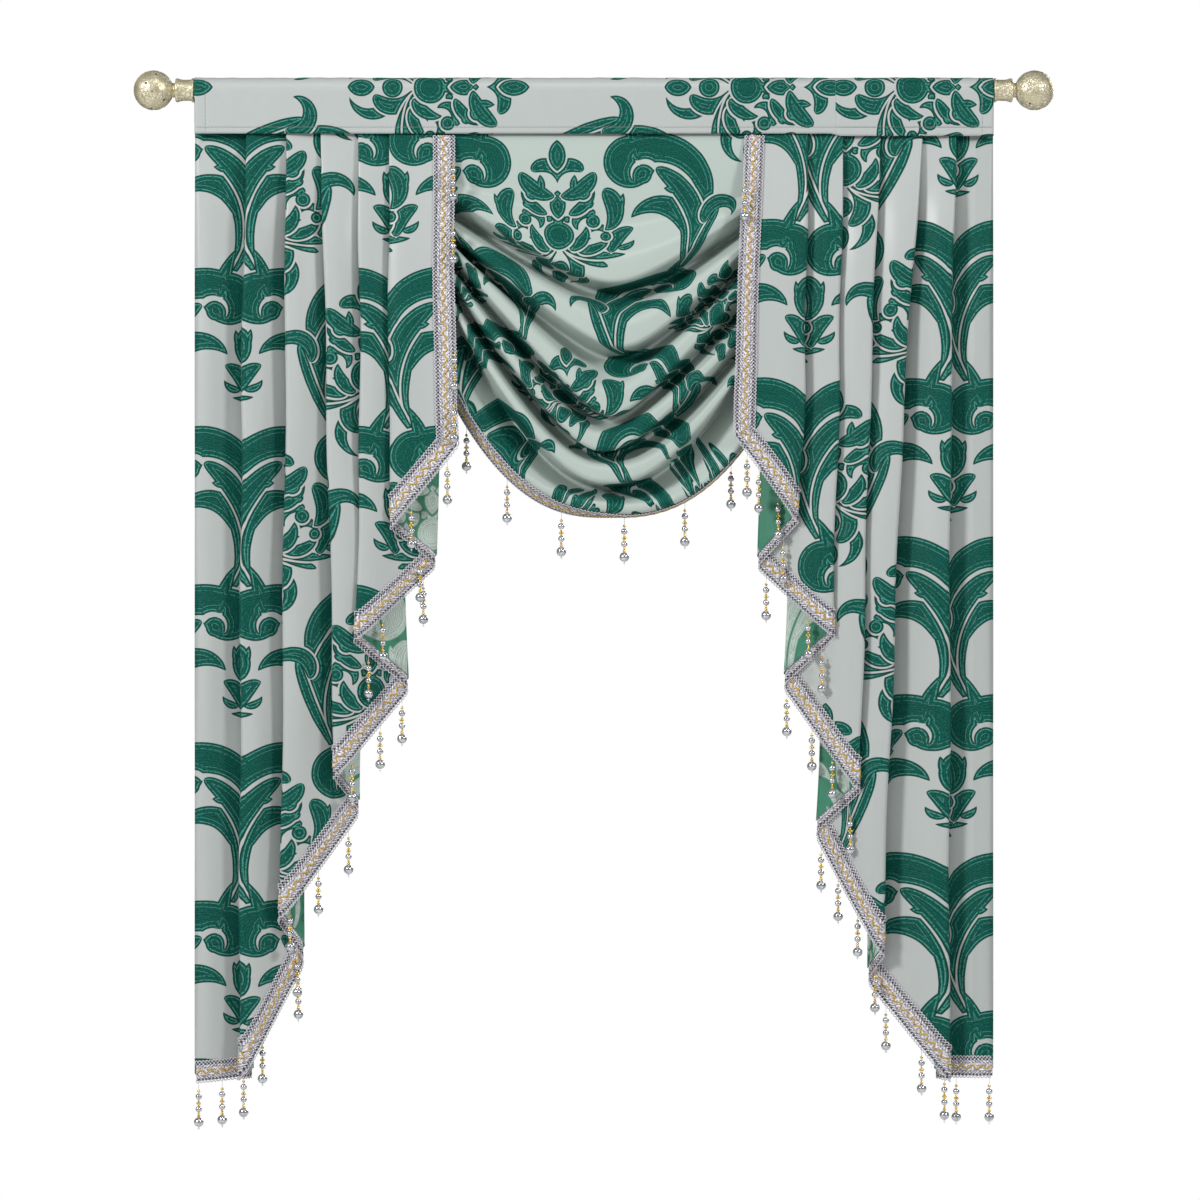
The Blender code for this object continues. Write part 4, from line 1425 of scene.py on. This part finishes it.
@dataclass
class Trimming:
    """Gimp braid on a band: the woven tape, its picot edges, its gold wave cord and its beaded drops.

    Each drop is a thread with small gold beads, two grey pearls, a gold cluster, a large pearl and a
    clear bead.
    """

    BEADS = (  # distance below the braid's edge, radius, kind
        (12.2, 1.9, Bead.GOLD),
        (19.0, 4.0, Bead.PEARL),
        (24.9, 1.5, Bead.GOLD),
        (30.4, 1.5, Bead.GOLD),
        (34.8, 3.9, Bead.PEARL),
        (40.2, 1.6, Bead.GOLD),
        (43.4, 2.0, Bead.GOLD),
        (51.0, 6.0, Bead.PEARL),
        (58.4, 1.2, Bead.CLEAR),
    )

    name: str
    node: str
    band: Band
    roots: Array
    finishes: BraidFinishes
    clear: tuple[tuple[int, float], ...] = ()  # drops that hang this much in front of the cloth
    tape_thickness: float = 1.1
    tape_inset: float = 0.9
    rib_height: float = 0.22
    rib_pitch: float = 5.6
    picot_reach: float = 2.2
    picot_steps: int = 7
    wave_length: float = 13.0
    wave_reach: float = 2.4
    drop_length: float = 62.0
    cluster_below: float = 27.6
    cluster_radius: float = 1.9
    cluster_bead: float = 1.5
    thread_radius: float = 0.35
    strand_half: float = 2.5  # a solid strand lies within this of its root
    strand_span: Pair = (52.0, 72.0)  # and ends between these distances below it

    def tape(self) -> None:
        """The tape: a ribbon with soft raised ribs, by a cosine, where the gimp cords lie."""
        along = np.arange(0, self.band.length, 2.0)
        across = np.linspace(self.tape_inset, BRAID_WIDTH - self.tape_inset, 15)
        s, w = np.meshgrid(along, across, indexing="ij")
        rib = self.rib_height * np.cos((w - BRAID_WIDTH / 2) * TURN / self.rib_pitch)
        points, _ = self.band.at(s, w, rib)
        flat = np.stack([s, w], -1)
        slots = (self.finishes.tape,)
        piece = make_mesh(self.name + "_tape", points, grid_quads(*s.shape), flat, slots)
        thicken(piece, self.tape_thickness)
        dress(piece, self.node + "_woven", self.node)

    def cord(
        self,
        label: str,
        path: tuple[Array, Array, Array],
        radius: float,
        corners: int,
        finish: Material,
    ) -> None:
        """Lays a thread on the band.

        Args:
            label: What the piece is called after the trimming's name.
            path: Distances along the band, across it from its outer edge, and off its face.
            radius: The thread's radius.
            corners: Corners of its ring.
            finish: Its material.
        """
        piece = tube(f"{self.name}_{label}", *self.band.at(*path), radius, corners, finish)
        dress(piece, self.node + "_woven")

    def picots(self) -> None:
        """Both edges: a thread that loops out past the tape, |sin| along each pitch."""
        count = int(self.band.length / PICOT_PITCH)
        along = np.arange(count * self.picot_steps + 1) * PICOT_PITCH / self.picot_steps
        loop = np.abs(np.sin(math.pi * along / PICOT_PITCH)) ** 0.7
        lift = 0.35 * np.cos(TURN * along / PICOT_PITCH)
        out = (self.picot_reach + 0.8) * loop - 1.3
        for label, across in (("outer_picots", -out), ("inner_picots", BRAID_WIDTH + out)):
            self.cord(label, (along, across, lift), 0.7, 4, self.finishes.silk)

    def wave(self) -> None:
        """The gold cord that waves down the middle of the tape, by a sine."""
        along = np.arange(0, self.band.length, self.wave_length / 14)
        across = BRAID_WIDTH / 2 + self.wave_reach * np.sin(TURN * along / self.wave_length)
        lift = np.full_like(along, self.tape_thickness / 2 + 0.55)
        self.cord("gold_wave", (along, across, lift), 0.95, 6, self.finishes.gold)

    def tips(self) -> Array:
        """The lowest point of each drop's solid strand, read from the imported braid.

        Returns:
            One point a drop.
        """
        mesh = bpy.data.objects[self.node].data
        corners = np.empty(len(mesh.vertices) * 3, dtype=np.float32)
        mesh.vertices.foreach_get("co", corners)
        corners = corners.reshape(-1, 3) / MM
        found = []
        for x, _, z in self.roots:
            near = corners[np.abs(corners[:, 0] - x) < self.strand_half]
            below = z - near[:, 2]
            near = near[(below > self.strand_span[0]) & (below < self.strand_span[1])]
            low = near[near[:, 2] < near[:, 2].min() + 0.2]
            found.append([low[:, k].mean() for k in range(3)])
        tips = np.array(found)
        for drop, forward in self.clear:
            tips[drop, 1] -= forward
        return tips

    def beads(self, kind: Bead, tips: Array) -> None:
        """All beads of one kind: for each centre, points at equal angles of latitude and longitude.

        Args:
            kind: The kind.
            tips: The lowest point of each drop.
        """
        label, corners, rings = kind.value
        rows = [(below, radius) for below, radius, own in self.BEADS if own is kind]
        centres = np.concatenate([tips + (0, 0, self.drop_length - below) for below, _ in rows])
        radii = np.repeat([radius for _, radius in rows], len(tips))
        if kind is Bead.GOLD:
            ring = level_ring(self.cluster_radius, 90) + (0, 0, self.drop_length - self.cluster_below)
            cluster = (tips[:, None, :] + ring[None]).reshape(-1, 3)
            centres = np.concatenate([centres, cluster])
            radii = np.concatenate([radii, np.full(len(cluster), self.cluster_bead)])
        latitude = np.linspace(0, math.pi, rings + 1)
        _, cosine, sine = circle(corners)
        out = np.sin(latitude)
        height = np.broadcast_to(np.cos(latitude)[:, None], (rings + 1, corners))
        ball = np.stack([np.outer(out, cosine), np.outer(out, sine), height], axis=-1)
        balls = centres[:, None, None, :] + radii[:, None, None, None] * ball[None]
        quads = grid_quads(rings + 1, corners, True)
        piece = scatter(f"{self.name}_{label}_beads", balls, quads, self.finishes.beads[kind])
        dress(piece, self.node + "_woven")

    def drops(self) -> None:
        """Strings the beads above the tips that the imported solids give, each drop on its thread."""
        tips = self.tips()
        for kind in Bead:
            self.beads(kind, tips)
        knee = tips + (0, 0, self.drop_length - 9.0)
        path = np.stack([self.roots + (0, 0, 1.0), knee, tips + (0, 0, 1.0)], axis=1)
        threads = path[:, :, None, :] + level_ring(self.thread_radius, 0)[None, None]
        quads = grid_quads(3, 3, True)
        piece = scatter(self.name + "_bead_threads", threads, quads, self.finishes.thread)
        dress(piece, self.node + "_woven")

    def build(self) -> None:
        """Makes every piece of the trimming."""
        self.tape()
        self.picots()
        self.wave()
        self.drops()
        LOG.info("%s: %.2f m, %d drops", self.name, self.band.length * MM, len(self.roots))


# ------------------------------------------------------------------ sleeve and pole


@dataclass
class Sleeve:
    """The header: one cloth folded over the pole and stitched down at the seam."""

    sides: Sequence[Material]
    thread: Material
    edge: tuple[Pair, ...] = ((-500.0, 55.0), (296.0, 55.0), (308.0, 58.0), (500.0, 58.0))
    front_depth: float = -9.4
    back_depth: float = 6.2
    clearance: float = 0.95  # from the pole to the cloth's middle
    hem: float = 486.0  # where both side hems are sewn
    seam: float = -47.0
    join: float = 302.0
    join_shift: float = 207.0
    columns: int = 261
    stitch_length: float = 5.2
    stitch_radius: float = 0.26
    front: Array = field(init=False)

    def cloth(self) -> None:
        """A belt over the pole in each section, with shallow gathers that fade towards the seam."""
        x = np.linspace(-HALF_WIDTH, HALF_WIDTH, self.columns)
        hems = np.outer([-1, 1], self.hem + 0.8 * np.arange(-2, 3)).ravel()
        x = np.sort(np.concatenate([x, hems, [self.join - 0.1, self.join + 0.1]]))
        drop = np.interp(x, *zip(*self.edge))
        start = np.stack([np.full_like(x, self.front_depth), -drop], 1)
        end = np.stack([np.full_like(x, self.back_depth), -drop], 1)
        radius = np.full_like(x, -(POLE_RADIUS + self.clearance))
        cuts = [np.arange(1, steps) / steps for steps in (16, 12)]
        points, normals, _ = belt(start, [(np.zeros((len(x), 2)), radius)], end, 26, cuts)
        down = lengths_along(points.transpose(1, 0, 2)).transpose(1, 0)
        z = points[..., 1]
        ruck = (
            0.35 * np.sin(x / 7.3 + 0.6 * np.sin(x / 41.0))
            + 0.28 * np.sin(x / 3.9 + 1.7 * np.sin(x / 63.0))
            + 0.4 * np.sin(x / 29.0 + 0.5)
        )
        push = smooth_share((z + 50.0) / 46.0) * (0.25 + 0.5 * ruck[:, None].clip(-0.5, 1.0))
        groove = -0.45 * np.exp(-(((z - self.seam) / 1.2) ** 2)) * (down < down.max() / 2)
        groove = groove - 0.5 * np.exp(-((np.abs(x) - self.hem) ** 2))[:, None]
        grid = with_x(x, points + (push + groove)[..., None] * normals)
        self.front = grid[:, :30]
        shifted = x - self.join_shift * (x > self.join)
        place = np.stack([np.broadcast_to(shifted[:, None], down.shape), drop[:, None] - down], axis=-1)
        piece = cut_cloth("sleeve_header", "sleeve", grid, place, self.sides)

    def stitches(self) -> None:
        """Running stitches above the seam and up both hems: a thread that dips in and out by a sine."""
        low, high = self.front[:, 0], self.front[:, 15]
        share = (self.seam - low[:, 2]) / (high[:, 2] - low[:, 2])
        lines = {"seam": low + share[:, None] * (high - low)}
        for label, place in (("left_hem", -self.hem), ("right_hem", self.hem)):
            lines[label] = self.front[int(np.argmin(np.abs(low[:, 0] - place)))]
        for label, line in lines.items():
            s = lengths_along(line)
            t = np.arange(2.0, s[-1] - 2.0, 0.8)
            normal = np.broadcast_to([0.0, -1.0, 0.0], (len(t), 3))
            lift = CLOTH / 2 + 0.28 * np.sin(t * TURN / self.stitch_length)
            path = trace(t, s, line) + lift[:, None] * normal
            piece = tube(f"sleeve_{label}_stitches", path, normal, self.stitch_radius, 4, self.thread)
            dress(piece, "sleeve_cloth")


@dataclass
class Finial:
    """A turned end piece: collar with a ring, flared cup, neck and hammered ball."""

    PROFILE = (  # distance past the pole's end, and radius
        (0.0, 4.0), (0.0, 13.6), (0.5, 14.6), (1.4, 15.2), (2.6, 15.2), (3.4, 14.6),
        (4.0, 13.8), (5.0, 13.4), (10.0, 13.2), (15.0, 13.3), (18.0, 14.0), (20.5, 14.9),
        (22.6, 15.0), (23.6, 14.4), (24.0, 13.0), (24.2, 10.5), (24.6, 9.2),
    )

    name: str
    node: str
    side: int
    finish: Material
    centre: float = 51.5
    ball: float = 25.0
    neck: float = 9.0
    gap: float = 0.35

    def build(self) -> None:
        """Turns the profile round the pole's axis, with low hammer marks pressed into its radius."""
        angles = np.linspace(math.asin(self.neck / self.ball), math.pi, 40)
        ball = np.stack([self.centre - self.ball * np.cos(angles), self.ball * np.sin(angles)], 1)
        x, r = np.concatenate([self.PROFILE, ball]).T[:, :, None]
        turn, cosine, sine = circle(72)
        marks = 0.30 * np.sin(x * 0.9 + 3.1 * np.sin(turn * 2)) * np.sin(turn * 7 + x * 0.35)
        marks = marks + 0.18 * np.sin(turn * 13 + 2.0 * np.sin(x * 0.6)) * np.sin(x * 1.3 + turn * 3)
        r = r - (0.25 + marks) * np.clip((r - 4.0) / 8.0, 0, 1) * np.clip((x - 24.0) / 6.0, 0.15, 1)
        place = self.side * (HALF_WIDTH + self.gap + x + 0 * turn)
        quads = grid_quads(*r.shape, close=True)
        grid = np.stack([place, r * cosine, r * sine], axis=-1)
        quads = quads[:, ::-1] if self.side < 0 else quads
        piece = make_mesh(self.name, grid, quads, None, (self.finish,))
        dress(piece, self.node + "_finish", self.node)
        LOG.info("%s: %d faces", self.name, len(quads))


# ------------------------------------------------------------------ studio


@dataclass
class Studio:
    """A pale floor below the drape, soft lights, and a distant camera square to the cloth."""

    pixel: float = 1.2531  # millimetres across the view's 1200
    view: int = 1200
    centre_x: float = 7.5
    centre_z: float = -638.7
    distance: float = 6.5
    sensor: float = 36.0
    glow: float = 0.09

    def build(self) -> None:
        """Places floor, lights, world and camera."""
        self.floor()
        self.world()
        self.light("key", (-3.1, -2.7, 1.3), 0.9, 140.0)
        self.light("fill", (3.1, -2.6, 1.1), 0.9, 84.0)
        self.light("top", (0.0, -1.5, 1.6), 0.8, 12.0)
        self.light("back", (2.4, 3.4, 0.8), 1.6, 70.0)
        data = bpy.data.cameras.new("camera")
        data.sensor_width = self.sensor
        data.lens = self.sensor * self.distance / (self.view * self.pixel * MM)
        data.clip_end = 50.0
        camera = link("camera", data)
        camera.location = (self.centre_x * MM, -self.distance, self.centre_z * MM)
        camera.rotation_euler = (math.pi / 2, 0, 0)
        bpy.context.scene.camera = camera
        bpy.context.scene.view_settings.view_transform = "Standard"

    @staticmethod
    def floor() -> None:
        """A wide floor below the longest drop."""
        near, far, low = -4000.0, 1700.0, -1650.0
        corners = np.array([[near, near, low], [-near, near, low], [-near, far, low], [near, far, low]])
        pale = Shader("floor_paint")
        tone = pale.noise(pale.object_place(), 3.0)
        white = pale.mix(tone, rgb("ffffff"), rgb("f8f8f8"))
        paint = pale.surface({"Base Color": white, "Roughness": 0.9})
        make_mesh("floor", corners, np.array([[0, 1, 2, 3]]), None, (paint,))

    def world(self) -> None:
        """A faint even light, which the camera sees as white."""
        world = bpy.data.worlds.new("studio")
        world.use_nodes = True
        bpy.context.scene.world = world
        tree = world.node_tree
        glow = tree.nodes["Background"]
        glow.inputs["Color"].default_value = (1, 1, 1, 1)
        glow.inputs["Strength"].default_value = self.glow
        camera_ray = tree.nodes.new("ShaderNodeLightPath")
        white = tree.nodes.new("ShaderNodeBackground")
        white.inputs["Color"].default_value = (1, 1, 1, 1)
        chosen = tree.nodes.new("ShaderNodeMixShader")
        seen = (camera_ray.outputs["Is Camera Ray"], glow.outputs[0], white.outputs[0])
        for socket, source in zip(chosen.inputs, seen):
            tree.links.new(source, socket)
        tree.links.new(chosen.outputs[0], tree.nodes["World Output"].inputs[0])

    @staticmethod
    def light(name: str, place: tuple[float, float, float], size: float, power: float) -> None:
        """A square soft light aimed at the drape's middle.

        Args:
            name: The lamp's name.
            place: Its place in metres.
            size: Side of its square.
            power: Its power in watts.
        """
        data = bpy.data.lights.new(name, "AREA")
        data.size = size
        data.energy = power
        lamp = link(name, data)
        lamp.location = place
        lamp.visible_camera = False
        x, y, z = np.array((0.0, 0.0, -0.5)) - place
        lamp.rotation_euler = (math.acos(-z / math.hypot(x, y, z)), 0.0, math.atan2(-x, y))


def damask_pair(name: str, laid: dict, **own: Any) -> tuple[Material, Material]:
    """The two sides of a cloth: its face, and its reverse with the two colours exchanged.

    Args:
        name: What both names begin with.
        laid: How the pattern lies on the cloth.
        own: What only the face has.

    Returns:
        Both materials.
    """
    face = DamaskCloth(name + "_damask", **laid, **own)
    back = DamaskCloth(name + "_reverse", "1a7a5c", "c4cdc7", "8fa79b", "3f8f73", **laid)
    return face.build(), back.build()


def main() -> None:
    """Builds the drape piece by piece."""
    logging.basicConfig(level=logging.INFO, format="%(name)s: %(message)s")
    brass = HammeredBrass("hammered_brass").build()
    for end, side in (("left", -1), ("right", 1)):
        Finial("finial_ball_" + end, "finial_" + end, side, brass).build()
    pole = bpy.data.objects["pole"]
    pole.data.materials.clear()
    pole.data.materials.append(brass)

    laid = {"turned": True, "across_origin": -162.0, "along_origin": -2.7}
    header = damask_pair("header", laid)
    sleeve = Sleeve(header, SpunThread("sewing_thread", "9aa19d", "6f7673", 0.0, 0.6).build())
    sleeve.cloth()
    sleeve.stitches()

    braid = BraidFinishes(
        GimpBraid("gimp_braid").build(),
        SpunThread("silver_silk", "f1eef4", "918d99", 0.0, 0.45).build(),
        SpunThread("gold_thread", "dcb654", "94742a", 0.3, 0.35).build(),
        SpunThread("clear_thread", "dcdcdc", "b8b8b8", 0.0, 0.3).build(),
        {
            Bead.PEARL: BeadFinish("grey_pearl", "dcdde0", "a6a8af", 0.72, 0.14, 1.0).build(),
            Bead.GOLD: BeadFinish("gold_bead", "f6d56c", "cfa53e", 0.7, 0.25, 0.4).build(),
            Bead.CLEAR: BeadFinish("clear_bead", "e4e6e8", "c2c4c8", 0.2, 0.12, 1.0).build(),
        },
    )
    left = (LEFT_PLEATS, -1, "braid_left", LEFT_EDGE_BEADS, LEFT_HEM_BEADS, LEFT_REPEATS, 11)
    right = (RIGHT_PLEATS, 1, "braid_right", RIGHT_EDGE_BEADS, RIGHT_HEM_BEADS, RIGHT_REPEATS, 23)
    laid = {"across_origin": -46.4, "along_origin": 97.0}
    cloths = (
        (Tail("tail_left", *left, damask_pair("tail_left", {"along_origin": 117.0})), ((6, 3.0),)),
        (
            Tail("tail_right", *right, damask_pair("tail_right", {"along_origin": 255.0}, hem=828.0)),
            ((3, 8.0), (11, 8.0)),
        ),
        (Swag(damask_pair("swag", laid, ground="b3bfb9")), ()),
    )
    for cloth, clear in cloths:
        cloth.cloth()
        label = cloth.braid_node.replace("braid", "gimp")
        Trimming(label, cloth.braid_node, cloth.band(), cloth.roots(), braid, clear).build()
    Studio().build()


if __name__ == "__main__":
    main()
